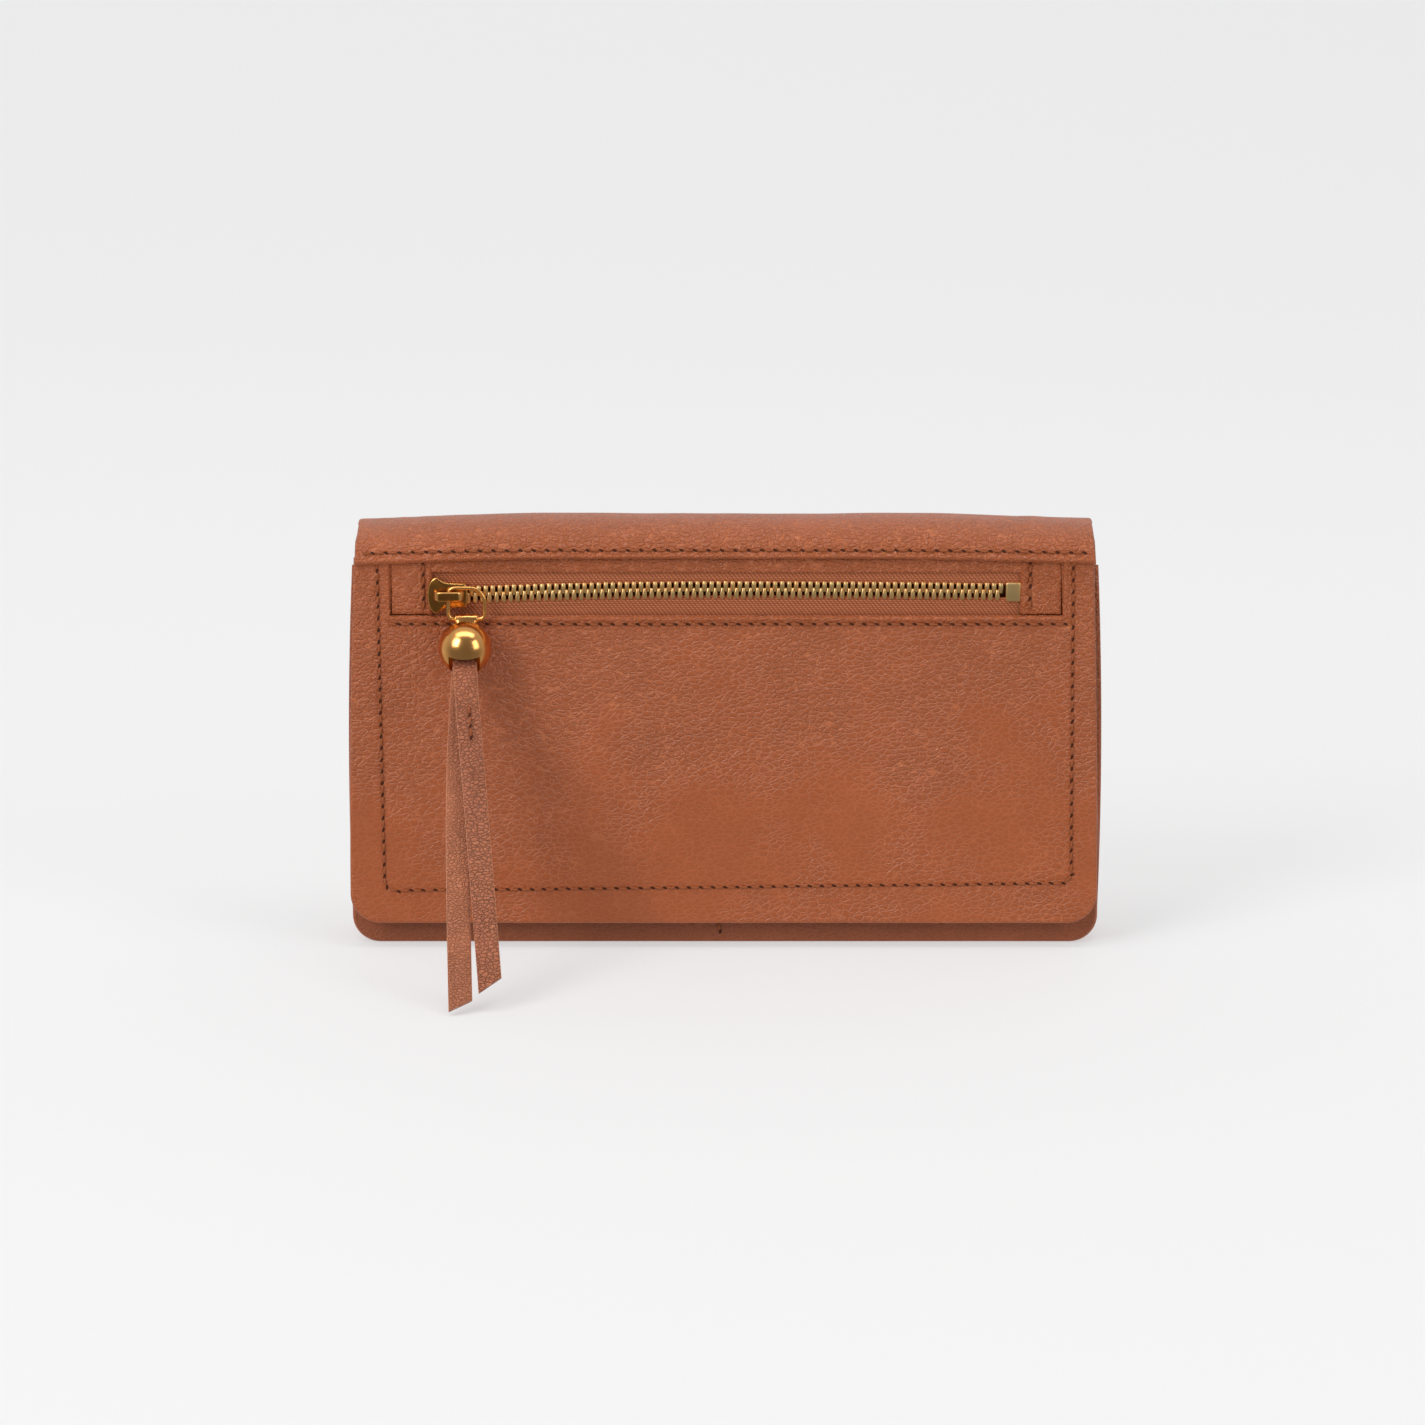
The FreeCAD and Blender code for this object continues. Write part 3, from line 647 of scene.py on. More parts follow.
def stitch_row(name, body, lines, pitch, normal, seed):
    """Saddle stitches: each thread rises out of one hole and dips into the next, with a dark disc of painted
    shade at each hole.
    """
    rng = random.Random(seed)
    points, faces, shade_dots, shade_dot_faces = [], [], [], []
    for line in lines:
        for at, along in along_line(line, pitch):
            n = normal(at)
            across = along.cross(n).normalized()
            tilt = STITCH_SLANT + rng.uniform(-0.06, 0.06)
            way = (along * math.cos(tilt) + across * math.sin(tilt)).normalized()
            half = STITCH_LENGTH / 2 * rng.uniform(0.94, 1.05)
            bow = []
            for t in (-1.0, -0.85, -0.5, 0.0, 0.5, 0.85, 1.0):
                bow.append(at + way * (half * t) + n * (0.25 - 0.45 * t * t * t * t))
            tube(points, faces, bow, STITCH_RADIUS, 8, squeeze=lambda s: 0.4 * abs(2 * s - 1) ** 3)
            # A dark disc of painted shade at the hole between two stitches.
            centre = at + along * (pitch / 2) + n * 0.13
            lean = (along * 0.93 + across * 0.36).normalized()
            base = len(shade_dots)
            shade_dots.extend(ellipse(centre, lean, lean.cross(n), 0.62, 0.32, 12))
            shade_dots.append(centre - n * 0.03)
            shade_dot_faces.extend((base + s, base + (s + 1) % 12, base + 12) for s in range(12))
    threads = add_object(name, points, faces, SHADED_THREAD)
    hole_shades = add_object(name + "_hole_shades", shade_dots, shade_dot_faces, HOLE_SHADE)
    put(threads, body, "thread")
    put(hole_shades, body, "thread")
    return threads, hole_shades


# ---------------- shell and roll

def arch(centre, half, rise, count, start=0.0, stop=1.0):
    """Points over the top from the back edge to the front edge."""
    out = []
    for turn in spread(math.pi * start, math.pi * stop, count):
        up = max(math.sin(turn), 0.0) ** ROLL_POWER
        out.append((centre + half * bent(math.cos(turn), ROLL_POWER), ROLL_BASE + rise * up))
    return out


BODY = Outline(94.6, 94.9, 93.4, 0.0, 101.0, 7.0)


def shell_half(y, z):
    """Half width of the outer leather at each place on its path."""
    if z <= BODY.z1 and y > 0:
        return BODY.half(z)
    up = unit((z - BODY.z1) / 9.0)
    return BODY.high - 1.5 * up if y > ROLL_CENTRE else 92.3 - 0.6 * up


def shell_relief(x, y, z):
    """Waves, the pressed line and the raised edge of the strip, and the line round the back."""
    lift = 0.28 * wave(x, z + y, 34.0, 3.1) + 0.10 * wave(x, z * 1.5 - y, 11.0, 7.7)
    if y < -8.0:
        lift -= 0.08 * bell(z - STRIP_STITCH_Z, 0.6)
        lift += (0.55 + 0.15 * wave(x, 0.0, 15.0, 9.0)) * bell(z - 102.3, 0.6)
    if z < 100.0 and y > 0:
        lift -= 0.16 * bell(BODY.inside(x, z) - 3.0, 0.6)
        lift += 0.5 * wave(x, z, 60.0, 1.3)
    if abs(x) > 70 and z > 100:
        lift += 0.12 * wave(x * 2.4, y * 1.1, 9.0, 5.0)
    return lift


def end_droop(x):
    """How far the roll sinks towards its two ends."""
    return (1.7 if x < 0 else 1.35) * max((abs(x) - 42.0) / 50.0, 0.0) ** 1.4


def inner_droop(x, y, z):
    return end_droop(x) * unit((z - 99.0) / 6.0)


def outer_droop(x, y, z):
    """At the front the roll sinks less beside its stitches than over the top and at its edge."""
    if y > ROLL_CENTRE:
        return inner_droop(x, y, z)
    rise = (104.0 - z) / 2.3 if z < 104.0 else (z - 104.0) / 5.0
    return end_droop(x) * (0.45 + 0.55 * min(rise, 1.0))


def shell_path():
    """Up the back, over the top, and down to the strip's edge, which turns in."""
    heights = [BODY.corner * step for step in quarter(14)] + spread(BODY.corner, 99.0, 70)
    back = [(9.5 - 0.15 * z / ROLL_BASE, z) for z in heights]
    over = even_path(arch(ROLL_CENTRE, ROLL_HALF, ROLL_RISE, 240), 0.45)
    over = [(y, z) for y, z in over if y >= ROLL_CENTRE or z >= STRIP_EDGE + 0.7]
    y, z = over[-1]
    turn_in = [(y - 0.02 * i, z - (z - STRIP_EDGE) * math.sin(math.pi / 2 * i / 5)) for i in range(1, 6)]
    return back + over + turn_in


path = shell_path()
halves = [shell_half(y, z) for y, z in path]
shell = profile_sheet("outer_shell", path, halves, 1.25, SHELL, 170, shell_relief, droop=outer_droop)
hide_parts("back_panel", "flap_roll")
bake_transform(shell)


def roll_front_y(z):
    """The y of the roll's front surface at a height."""
    up = unit((z - ROLL_BASE) / ROLL_RISE) ** (1 / ROLL_POWER)
    return ROLL_CENTRE - ROLL_HALF * math.cos(math.asin(up)) ** ROLL_POWER


strip_y = roll_front_y(STRIP_STITCH_Z)
top_line = []
for x in spread(-91.0, 90.6, 60):
    y = strip_y - shell_relief(x, strip_y, STRIP_STITCH_Z) - 0.02
    top_line.append((x, y, STRIP_STITCH_Z - outer_droop(x, strip_y, STRIP_STITCH_Z)))
strip_out = Vector((0, -1, 0.18)).normalized()
stitch_row("strip_stitching", "flap_top", [top_line], 3.34, lambda at: strip_out, seed=4)


# ---------------- flap face

FLAP = Outline(94.3, 93.6, 92.15, 6.6, 101.6, 7.6)
LOWER_Z = 84.7


def u_line():
    """The border stitching: down the left side, along the bottom, up the right side."""
    side, low, top, r = 85.9, 15.3, 101.4, 3.0
    tilt = 0.012
    further = 1.4
    turn = side - r
    lift = tilt * 2 * turn
    corner = spread(0.0, math.pi / 2, 8)
    line = [(-(side + 0.8 * (z - low) / 86.0), z) for z in spread(top, low + r, 66)]
    line += [(-turn - r * math.cos(a), low + r - r * math.sin(a)) for a in corner]
    line += [(x, low + tilt * (x + turn)) for x in spread(-turn, turn, 100)]
    line += [(turn + further + r * math.sin(a), low + r + lift - r * math.cos(a)) for a in corner]
    line += [(side + further - 0.6 * (z - 20) / 75, z) for z in spread(low + r + lift, top, 66)]
    return line


BORDER = u_line()


def window_gap(x, z):
    """Distance from the zip's window."""
    return math.hypot(max(WINDOW_LEFT - x, 0.0, x - WINDOW_RIGHT), max(WINDOW_LOW - z, 0.0))


def border_gap(x, z):
    """Distance from the border stitching."""
    if z < 24:
        return min(math.hypot(x - a, z - b) for a, b in BORDER)
    t = (z - 15) / 77
    return min(abs(x + (85.9 + 0.8 * t)), abs(x - (87.3 - 0.55 * t)))


def face_relief(x, z):
    """Waves, a slight crown, pressed lines at the stitches, the window's fold and side wrinkles."""
    lift = 0.34 * wave(x, z, 40.0, 11.0) + 0.12 * wave(x, z, 13.0, 4.0)
    lift += 0.5 * (1 - (x / 94) ** 2) * math.sin(math.pi * unit((z - FLAP.z0) / 82))
    lift -= 0.08 * bell(border_gap(x, z), 0.7)
    lift -= 0.08 * bell(z - LOWER_Z if abs(x) < 87 else 9.0, 0.7)
    lift += 0.38 * bell(window_gap(x, z) - 0.75, 0.5)
    near_sides = bell(x + 91, 5.0) + bell(x - 91, 6.0) * bell(z - 22, 22)
    return lift + 0.16 * wave(x * 3.2, z * 0.9, 7.0, 21.0) * near_sides


def build_face():
    """The flap's front, without the cells that lie in the window."""
    left, right = ((edge - FACE_SHIFT) / 92.55 for edge in (WINDOW_LEFT, WINDOW_RIGHT))
    near = (0.0, 0.0016, 0.0036, 0.0062, 0.0095, 0.014)
    beside = [round(u, 6) for u in [left - d for d in near] + [right + d for d in near]]
    below = [WINDOW_LOW - d * 92.9 for d in near]
    us = sorted(set(round(u, 6) for u in across_widths(230)) | set(beside))
    zs = sorted(set(FLAP.heights(120)) | set(below))

    def place(side, z, u):
        x = u * FLAP.half(z)
        edge = FLAP.inside(x, z)
        x += FACE_SHIFT
        curve = rounded(min(edge, window_gap(x, z)), FACE_THICK / 2)
        lift = face_relief(x, z)
        return x, FACE_Y + curve - lift if side == 0 else FACE_Y + FACE_THICK - curve - lift * 0.4, z

    def kept(i, j):
        return not (left < (us[j] + us[j + 1]) / 2 < right and (zs[i] + zs[i + 1]) / 2 > WINDOW_LOW)

    return two_skins("flap_front", zs, us, place, SHELL, kept=kept)


put(build_face(), "flap", "shell_leather", "flap_face")


def on_face(x, z):
    return (x, FACE_Y - 0.02 - face_relief(x, z), z)


border_line = [on_face(x, z) for x, z in BORDER]
lower_line = [on_face(x, LOWER_Z) for x in spread(-84.6, 86.4, 110)]
stitch_row("flap_border_stitching", "flap", [border_line], 3.05, outward, seed=5)
stitch_row("window_stitching", "flap", [lower_line], 3.14, outward, seed=6)


# ---------------- zip

def chain_z(x):
    """The zip lies in a very shallow arch."""
    return CHAIN_Z - (1.15 * (x / 60) ** 2 if x < 0 else 0.5 * (x / 68) ** 2)


def level(z):
    return lambda x: z


def tape_relief(x, z):
    """A raised edge beside the teeth, and slow waves."""
    return 0.25 * bell(abs(z - chain_z(x)) - 2.9, 0.5) + 0.05 * wave(x, z, 6.0, 2.0)


for label, low, high in (
    ("lower", level(83.2), lambda x: chain_z(x) - 1.6),
    ("upper", lambda x: chain_z(x) + 1.6, level(101.2)),
):
    name = "zip_tape_" + label
    tape = strip(name + "_half", -79.4, 79.4, low, high, -12.15, 0.45, TAPE, 200, 22, tape_relief)
    put(tape, "flap", "zip_tape_weave", name)

# A tooth's outline from the tape to its head, and its layers from front to back: scale and depth
TOOTH_SIDE = [(-0.56, -2.05), (-0.6, -1.2), (-0.57, -0.6), (-0.42, -0.25), (-0.42, 0.25), (-0.28, 0.45)]
TOOTH_OUTLINE = TOOTH_SIDE + [(-a, b) for a, b in reversed(TOOTH_SIDE)] + [(0.4, -2.2), (-0.4, -2.2)]
TOOTH_LAYERS = [(0.62, -0.92), (0.86, -0.8), (1.0, -0.5), (1.0, 0.5), (0.86, 0.8), (0.62, 0.92)]
TOOTH_Y = -11.9


def add_tooth(points, faces, x, z0, side):
    """One cast tooth: a rounded block that clasps the tape and ends in a head."""
    rings = []
    for grow, depth in TOOTH_LAYERS:
        reach = side * (0.9 + 0.1 * grow)
        y = TOOTH_Y + depth
        rings.append([(x + a * grow, y, z0 + (b + 1.0) * reach - side) for a, b in TOOTH_OUTLINE])
    loft(points, faces, rings)


rng = random.Random(12)
for label, side, shift in (("lower", 1, 0.0), ("upper", -1, PITCH / 2)):
    points, faces = [], []
    for i in range(TEETH):
        x = -69.4 + shift + i * PITCH
        z = chain_z(x) + rng.uniform(-0.03, 0.03)
        add_tooth(points, faces, x + rng.uniform(-0.02, 0.02), z, side)
    row = add_object("zip_teeth_" + label + "_row", points, faces, TOOTH)
    put(row, "flap", "zip_brass", "zip_teeth_" + label)

z = chain_z(71.7)
stop = bevelled_box("zip_end_box", 69.95, 73.7, -13.25, -10.9, z - 2.5, z + 2.5, 0.45, TOOTH)
put(stop, "flap", "zip_brass", "zip_bottom_stop")
tops = []
for side in (-1, 1):
    z = chain_z(-75.4) + side * 1.4
    tops.append(bevelled_box("top_stop", -76.2, -74.6, -11.9, -10.9, z - 0.8, z + 0.8, 0.25, TOOTH))
put(join("zip_top_stop_pair", tops), "flap", "zip_brass", "zip_top_stops")

waves = uneven(0.12, 9.0, 8.0)
welt = strip("upper_welt_strip", -73.6, 74.0, level(97.75), level(101.5), -13.05, 0.85, SHELL, 120, 10, waves)
put(welt, "flap", "shell_leather", "zip_upper_welt")


def tab_relief(seam, fold, seed):
    """Slow waves, a pressed line at the stitches and a raised fold beside the zip."""
    waves = uneven(0.1, 7.0, seed)
    return lambda x, z: waves(x, z) - 0.08 * bell(x - seam, 0.5) + 0.42 * bell(x - fold, 0.45)


tab_lines = []
for label, x0, x1, seam, fold, seed in (
    ("left", -83.3, -72.9, -75.2, -73.8, 1.0),
    ("right", 73.5, 83.9, 76.0, 74.5, 6.0),
):
    relief = tab_relief(seam, fold, seed)
    name = "zip_end_tab_" + label
    tab = strip(name, x0, x1, level(86.95), level(101.5), -13.05, 0.95, SHELL, 30, 30, relief)
    put(tab, "flap", "shell_leather", "zip_tab_" + label)
    tab_lines.append([(seam, -13.08, z) for z in spread(88.0, 100.6, 12)])
stitch_row("zip_tab_stitching", "flap", tab_lines, 3.1, outward, seed=9)


# ---------------- slider, ring and charm

# Half widths of the slider's body along its length
SLIDER_SIDE = [(-71.2, 4.15), (-70.4, 3.62), (-69.6, 3.32), (-68.6, 3.18), (-67.0, 3.12), (-65.6, 3.08)]


def shield_outline(grow):
    """The slider's outline: a flared tail at the left and a straight narrower body."""
    line = []
    for a in spread(math.pi / 2, math.pi * 1.5, 16):
        line.append((-71.9 + (2.3 + grow) * math.cos(a), (4.6 + grow) * bent(math.sin(a), 0.8)))
    line += [(x, -(z + grow)) for x, z in SLIDER_SIDE]
    for a in spread(-math.pi / 2, math.pi / 2, 8):
        side = (a > 0) - (a < 0)
        line.append((-65.4 + (1.2 + grow) * math.cos(a), (1.9 + grow * 0.5) * side + 1.15 * math.sin(a)))
    line += [(x, z + grow) for x, z in reversed(SLIDER_SIDE)]
    return line


def paint_dark_reflection(obj):
    """Painted dark reflection: the flat front in a darker brass, with the polished metal left on the edges."""
    obj.data.materials.append(DARK_REFLECTION_BRASS)
    for polygon in obj.data.polygons:
        if abs(polygon.normal.y) > 0.97:
            polygon.material_index = 1
    return obj


def shield_plate(y0, y1, grow, soft):
    """One of the slider's two plates, with softened edges."""
    layers = [(y0, -soft), (y0 + soft * 0.4, -soft * 0.35), (y0 + soft, 0.0)]
    layers += [(y1 - soft, 0.0), (y1 - soft * 0.4, -soft * 0.35), (y1, -soft)]
    rings = [[(x, y, SLIDER_Z + z) for x, z in shield_outline(grow + inset)] for y, inset in layers]
    points, faces = [], []
    loft(points, faces, rings, ends=False)
    sides = len(rings[0])
    for base, y in ((0, y0), (len(points) - sides, y1)):
        faces += [(base + s, base + (s + 1) % sides, len(points)) for s in range(sides)]
        points.append((-67.5, y, SLIDER_Z))
    return paint_dark_reflection(add_object("plate", points, faces, BRASS))


def slider():
    parts = [shield_plate(-14.35, -13.15, 0.0, 0.32), shield_plate(-10.75, -10.05, -0.3, 0.2)]
    for side in (-1, 1):
        z = SLIDER_Z + side * 2.78
        for y0, y1 in ((-13.4, -12.3), (-11.55, -10.5)):
            parts.append(bevelled_box("rail", -69.0, -64.6, y0, y1, z - 0.27, z + 0.27, 0.12, BRASS, 2))
    z = SLIDER_Z
    parts.append(bevelled_box("post", -72.1, -70.5, -13.6, -10.3, z - 0.8, z + 0.8, 0.3, BRASS, 2))
    return join("zip_slider_casting", parts)


def bail():
    """A flat bridge whose ends turn down into the slider."""
    bends = [(-72.1, -13.9), (-72.1, -15.4), (-71.9, -16.3), (-71.2, -16.85), (-70.2, -16.95)]
    bends += [(-67.6, -16.95), (-66.5, -16.85), (-65.8, -16.3), (-65.6, -15.4), (-65.6, -13.9)]
    path = [between(a, b, t) for a, b in zip(bends, bends[1:]) for t in (0.0, 0.25, 0.5, 0.75)]
    path.append(bends[-1])
    section = oval(20, 0.5, 1.2, 0.6, 0.5)
    rings = []
    for k, (x, y) in enumerate(path):
        nx, ny = path_normal(path, k)
        rings.append([(x + nx * off, y + ny * off, SLIDER_Z + 0.36 + dz) for off, dz in section])
    points, faces = [], []
    loft(points, faces, rings)
    return paint_dark_reflection(add_object("slider_bridge", points, faces, BRASS))


def pull_ring():
    """A wire bent to a rounded square, wider at its upper right corner."""
    left, right, high = -68.95, -59.9, 94.4
    corners = [
        (left + 1.5, RING_LOW + 1.5, 1.5, 180), (right - 1.5, RING_LOW + 1.5, 1.5, 270),
        (right - 3.7, high - 3.7, 3.7, 0), (left + 1.6, high - 1.6, 1.6, 90),
    ]
    line = []
    for x, z, r, start in corners:
        for a in spread(math.radians(start), math.radians(start + 90), 10):
            line.append((x + r * math.cos(a), RING_Y, z + r * math.sin(a)))
    points, faces = [], []
    tube(points, faces, line, 0.52, 16, closed=True)
    return add_object("pull_ring_wire", points, faces, BRASS)


def collar():
    """The barrel that turns on the ring."""
    rings = [(-2.85, 0.62), (-2.85, 1.1), (-2.78, 1.21), (-2.6, 1.25)]
    rings += [(-at, r) for at, r in reversed(rings)]
    return turned("charm_barrel", Vector((-64.5, RING_Y, RING_LOW)), Vector((1, 0, 0)), rings, BALL)


def ball():
    """A polished ball with two fine engraved lines near its top."""
    rings = []
    for a in spread(0.0, math.pi, 96):
        r = BALL_RADIUS - 0.13 * (bell(a - 0.60, 0.02) + bell(a - 0.68, 0.02))
        rings.append((r * math.cos(a), max(r * math.sin(a), 0.02)))
    return turned("charm_ball_form", BALL_CENTRE, BALL_AXIS, rings, BALL, 96)


def neck():
    """The flat plate that joins the barrel to the ball, a little narrower at the barrel."""
    up = BALL_AXIS.normalized()
    across = Vector((1, 0, 0))
    out = across.cross(up)
    section = oval(32, 1.0, 1.0, 0.3, 0.6)
    steps = [(4.8, 2.9, 1.1), (5.8, 2.75, 1.0), (6.1, 2.62, 0.95)]
    steps += [(6.8, 2.6, 0.95), (7.4, 2.7, 1.15), (7.95, 2.72, 1.28)]
    rings = []
    for reach, wide, thick in steps:
        centre = Vector((NECK_X, *BALL_CENTRE.yz)) + up * reach
        rings.append([centre + across * (a * wide) + out * (b * thick) for a, b in section])
    points, faces = [], []
    loft(points, faces, rings)
    obj = add_object("charm_neck", points, faces, BALL)
    obj.data.set_sharp_from_angle(angle=math.radians(40))
    return obj


def cut_mouth(obj):
    """The mouth where the thong leaves the ball, wider towards the front."""
    cutters = []
    for angle, wide in ((24.0, 6.4), (45.0, 7.1), (66.0, 7.8)):
        turn = Matrix.Rotation(math.radians(-angle), 3, "X")
        bm = bmesh.new()
        bmesh.ops.create_cube(bm, size=1.0)
        for v in bm.verts:
            v.co = (turn @ Vector((v.co.x * wide, v.co.y * 4.7, (v.co.z - 0.5) * 12.0)) + THONG_TURN) * MM
        cutters.append(link_mesh("cutter", bm))
    for cutter in cutters:
        modifier = obj.modifiers.new("slot", "BOOLEAN")
        modifier.operation = "DIFFERENCE"
        modifier.object = cutter
        modifier.solver = "EXACT"
    bpy.context.view_layer.update()
    mesh = bpy.data.meshes.new_from_object(obj.evaluated_get(bpy.context.evaluated_depsgraph_get()))
    obj.modifiers.clear()
    obj.data = mesh
    for cutter in cutters:
        bpy.data.objects.remove(cutter)
    for polygon in mesh.polygons:
        polygon.use_smooth = True
    mesh.set_sharp_from_angle(angle=math.radians(35))
    return obj


put(slider(), "zip_slider", "slider_brass", "slider_body")
put(bail(), "zip_slider", "slider_brass", "slider_bail")
put(pull_ring(), "pull_ring", "slider_brass", "pull_ring")
put(collar(), "charm", "charm_brass", "charm_collar")
put(cut_mouth(ball()), "charm", "charm_brass", "charm_ball")
put(neck(), "charm", "charm_brass")


# ---------------- thong

BACK_ROUTE = [(-64.7, -22.5, 77.05), (-65.3, -27.6, 73.2), (-66.3, -45.5, 41.0), (-64.7, -68.9, 1.1)]
FRONT_ROUTE = [(-64.7, -23.5, 78.24), (-64.4, -29.9, 75.4), (-60.9, -48.3, 42.5), (-57.4, -66.7, 5.2)]


def spline_points(name, route):
    """The points of a smooth line with these control points."""
    data = bpy.data.curves.new(name, "CURVE")
    data.dimensions = "3D"
    data.resolution_u = 24
    spline = data.splines.new("NURBS")
    spline.points.add(len(route) - 1)
    for point, place in zip(spline.points, route):
        point.co = (*[c * MM for c in place], 1.0)
    spline.order_u = 3
    spline.use_endpoint_u = True
    obj = link(name, data)
    bpy.context.view_layer.update()
    mesh = bpy.data.meshes.new_from_object(obj)
    line = [v.co.copy() / MM for v in mesh.vertices]
    bpy.data.objects.remove(obj)
    bpy.data.meshes.remove(mesh)
    return line


def flat_tail(name, route, slope, material):
    """A flat leather tail along a smooth line, with softened edges and a slanting end."""
    line = spline_points(name + "_route", route)
    side = Vector((1, 0, 0))
    section = oval(28, TAIL_WIDE / 2, TAIL_THICK / 2, 0.35, 0.55)
    last = len(line) - 1
    rings = []
    for k, here in enumerate(line):
        along = (line[min(k + 1, last)] - line[max(k - 1, 0)]).normalized()
        across = (side - along * side.dot(along)).normalized()
        out = across.cross(along).normalized()
        t = k / last
        ring = []
        for a, b in section:
            trim = slope * (a / TAIL_WIDE + 0.5) * max(0.0, (t - 0.85) / 0.15)
            cup = 0.25 * (1 - (2 * a / TAIL_WIDE) ** 2) * math.sin(math.pi * t)
            wobble = 0.12 * noise.noise(Vector((a * 0.4, t * 9.0, TAIL_WIDE + slope)))
            ring.append(here + across * a + out * (b + cup + wobble) - along * trim)
        rings.append(ring)
    points, faces = [], []
    loft(points, faces, rings)
    obj = add_object(name, points, faces, material)
    obj.data.materials.append(CUT_EDGE)
    for polygon in obj.data.polygons:
        if abs(polygon.normal.x) > 0.8:
            polygon.material_index = 1
    obj.data.set_sharp_from_angle(angle=math.radians(50))
    return obj, line


def thong_fold():
    """The turn of the thong inside the ball."""
    line = [(STRAP_X + x, *THONG_TURN.yz) for x in (-2.95, -2.9, -2.75, -2.5, 0.0, 2.5, 2.75, 2.9, 2.95)]
    points, faces = [], []
    tube(points, faces, line, 1.5, 24, squeeze=lambda s: 0.22 - 0.22 * math.sin(math.pi * s) ** 0.4)
    return add_object("thong_fold", points, faces, THONG)


def stitches_down(line):
    """The part of a tail's face that the stitches run along, a little right of its middle."""
    out = []
    travelled = 0.0
    for a, b in zip(line, line[1:]):
        travelled += (b - a).length
        if 13.0 <= travelled <= 22.0:
            face = (b - a).normalized().cross(Vector((1, 0, 0))).normalized()
            out.append(b + face * math.copysign(0.85, -face.y) + Vector((0.3, 0, 0)))
    return out


back_tail, back_line = flat_tail("thong_tail_back", BACK_ROUTE, 2.6, THONG_PALE)
front_tail, front_line = flat_tail("thong_tail_front", FRONT_ROUTE, 3.4, THONG)
put(back_tail, "thong", "thong_leather", "strap_tail_back")
put(front_tail, "thong", "thong_leather", "strap_tail_front")
put(thong_fold(), "thong", "thong_leather", "strap_fold")
thong_out = Vector((0, -0.9, 0.42)).normalized()
threads, hole_shades = stitch_row(
    "thong_stitching", "thong", [stitches_down(front_line)], 2.9, lambda at: thong_out, seed=21
)
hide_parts("strap_stitch")


# ---------------- body inside the flap

def body_outline(inset, z0, z1):
    return Outline(BODY.low - inset, BODY.mid - inset, BODY.high - inset, z0, z1, BODY.corner)


front = sheet("body_front", body_outline(0.0, 1.2, 98.0), -6.15, 1.2, SHELL, 120, 60, uneven(0.08, 20.0, 2.0))
put(front, "wallet_body", "shell_leather", "front_panel")

SEAM_X = -1.1
POCKET_TOPS = (92.0, 78.0, 64.0, 50.0)


def pocket_relief(row, top):
    """Slow waves, a pressed line at the middle seam and a raised upper edge."""
    waves = uneven(0.07, 18.0, 3.0 + row)
    return lambda x, z: waves(x, z) - 0.1 * bell(x - SEAM_X, 0.5) + 0.05 * bell(top - z - 1.6, 1.0)


pocket_lines = []
for row, top in enumerate(POCKET_TOPS):
    y = -6.72 - 0.6 * row
    if row < 3:
        low, inset, thick = max(1.6, top - 56.0), 1.2, 0.55
        seam = spread(max(low + 1.2, top - 12.6), top - 1.0, 8)
    else:
        low, inset, thick = 0.35, 0.5, 0.7
        seam = spread(7.0, 49.0, 30)
    label = str(row + 1)
    outline = body_outline(inset, low, top)
    pocket = sheet("card_row_" + label, outline, y, thick, SHADED_INNER, 110, 40, pocket_relief(row, top))
    put(pocket, "wallet_body", "inner_leather", "card_pocket_row_" + label)
    pocket_lines.append([(SEAM_X, y - 0.02, z) for z in seam])
    pocket_lines.append([(x, y - 0.02, top - 3.2) for x in spread(-90.0, 90.0, 80)])
pocket_lines.append([(-1.9, -8.56, 6.0), (-0.9, -8.56, 1.6)])
stitch_row("card_row_stitching", "wallet_body", pocket_lines, 3.1, outward, seed=31)

DIVIDER = Outline(90.0, 90.0, 90.0, 3.0, 96.0, 4.0)
for name, node, outline, y, waves in (
    ("back_lining_cloth", "back_lining", body_outline(1.6, 2.0, 99.2), 7.33, (0.1, 22.0, 9.0)),
    ("front_lining_cloth", "front_lining", body_outline(1.6, 2.0, 97.0), -4.92, (0.08, 22.0, 4.0)),
):
    lining = sheet(name, outline, y, 0.55, LINING, 80, 40, uneven(*waves))
    put(lining, "wallet_body", "lining_cloth", node)
divider = sheet("divider_leaf", DIVIDER, 0.9, 1.1, SHADED_INNER, 80, 40, uneven(0.1, 26.0, 14.0))
put(divider, "wallet_body", "inner_leather", "centre_divider")


def base_band():
    """The turned leather that closes the bottom between the front and the back."""
    straight, r, top = 87.5, 7.0, 9.0
    back_y, front_y = 8.2, -8.0
    corner = spread(0.0, math.pi / 2, 16)
    path = [(-94.5, top), (-94.5, top - 2 / 3), (-94.5, top - 4 / 3)]
    path += [(-straight - r * math.cos(a), r - r * math.sin(a)) for a in corner]
    path += [(x, 0.0) for x in spread(-straight, straight, 120)[1:-1]]
    path += [(straight + r * math.sin(a), r - r * math.cos(a)) for a in corner]
    path += [(94.5, z) for z in (7.7, 8.4, top)]

    def place(side, k, y):
        curve = rounded(min(y - front_y, back_y - y), 0.72)
        off = curve if side == 0 else 1.45 - curve
        nx, nz = path_normal(path, k)
        return path[k][0] - nx * off, y, path[k][1] - nz * off

    return two_skins("base_band", range(len(path)), eased(front_y, back_y, 14, 0.75, 4), place, SHELL)


put(base_band(), "wallet_body", "shell_leather", "base_panel")


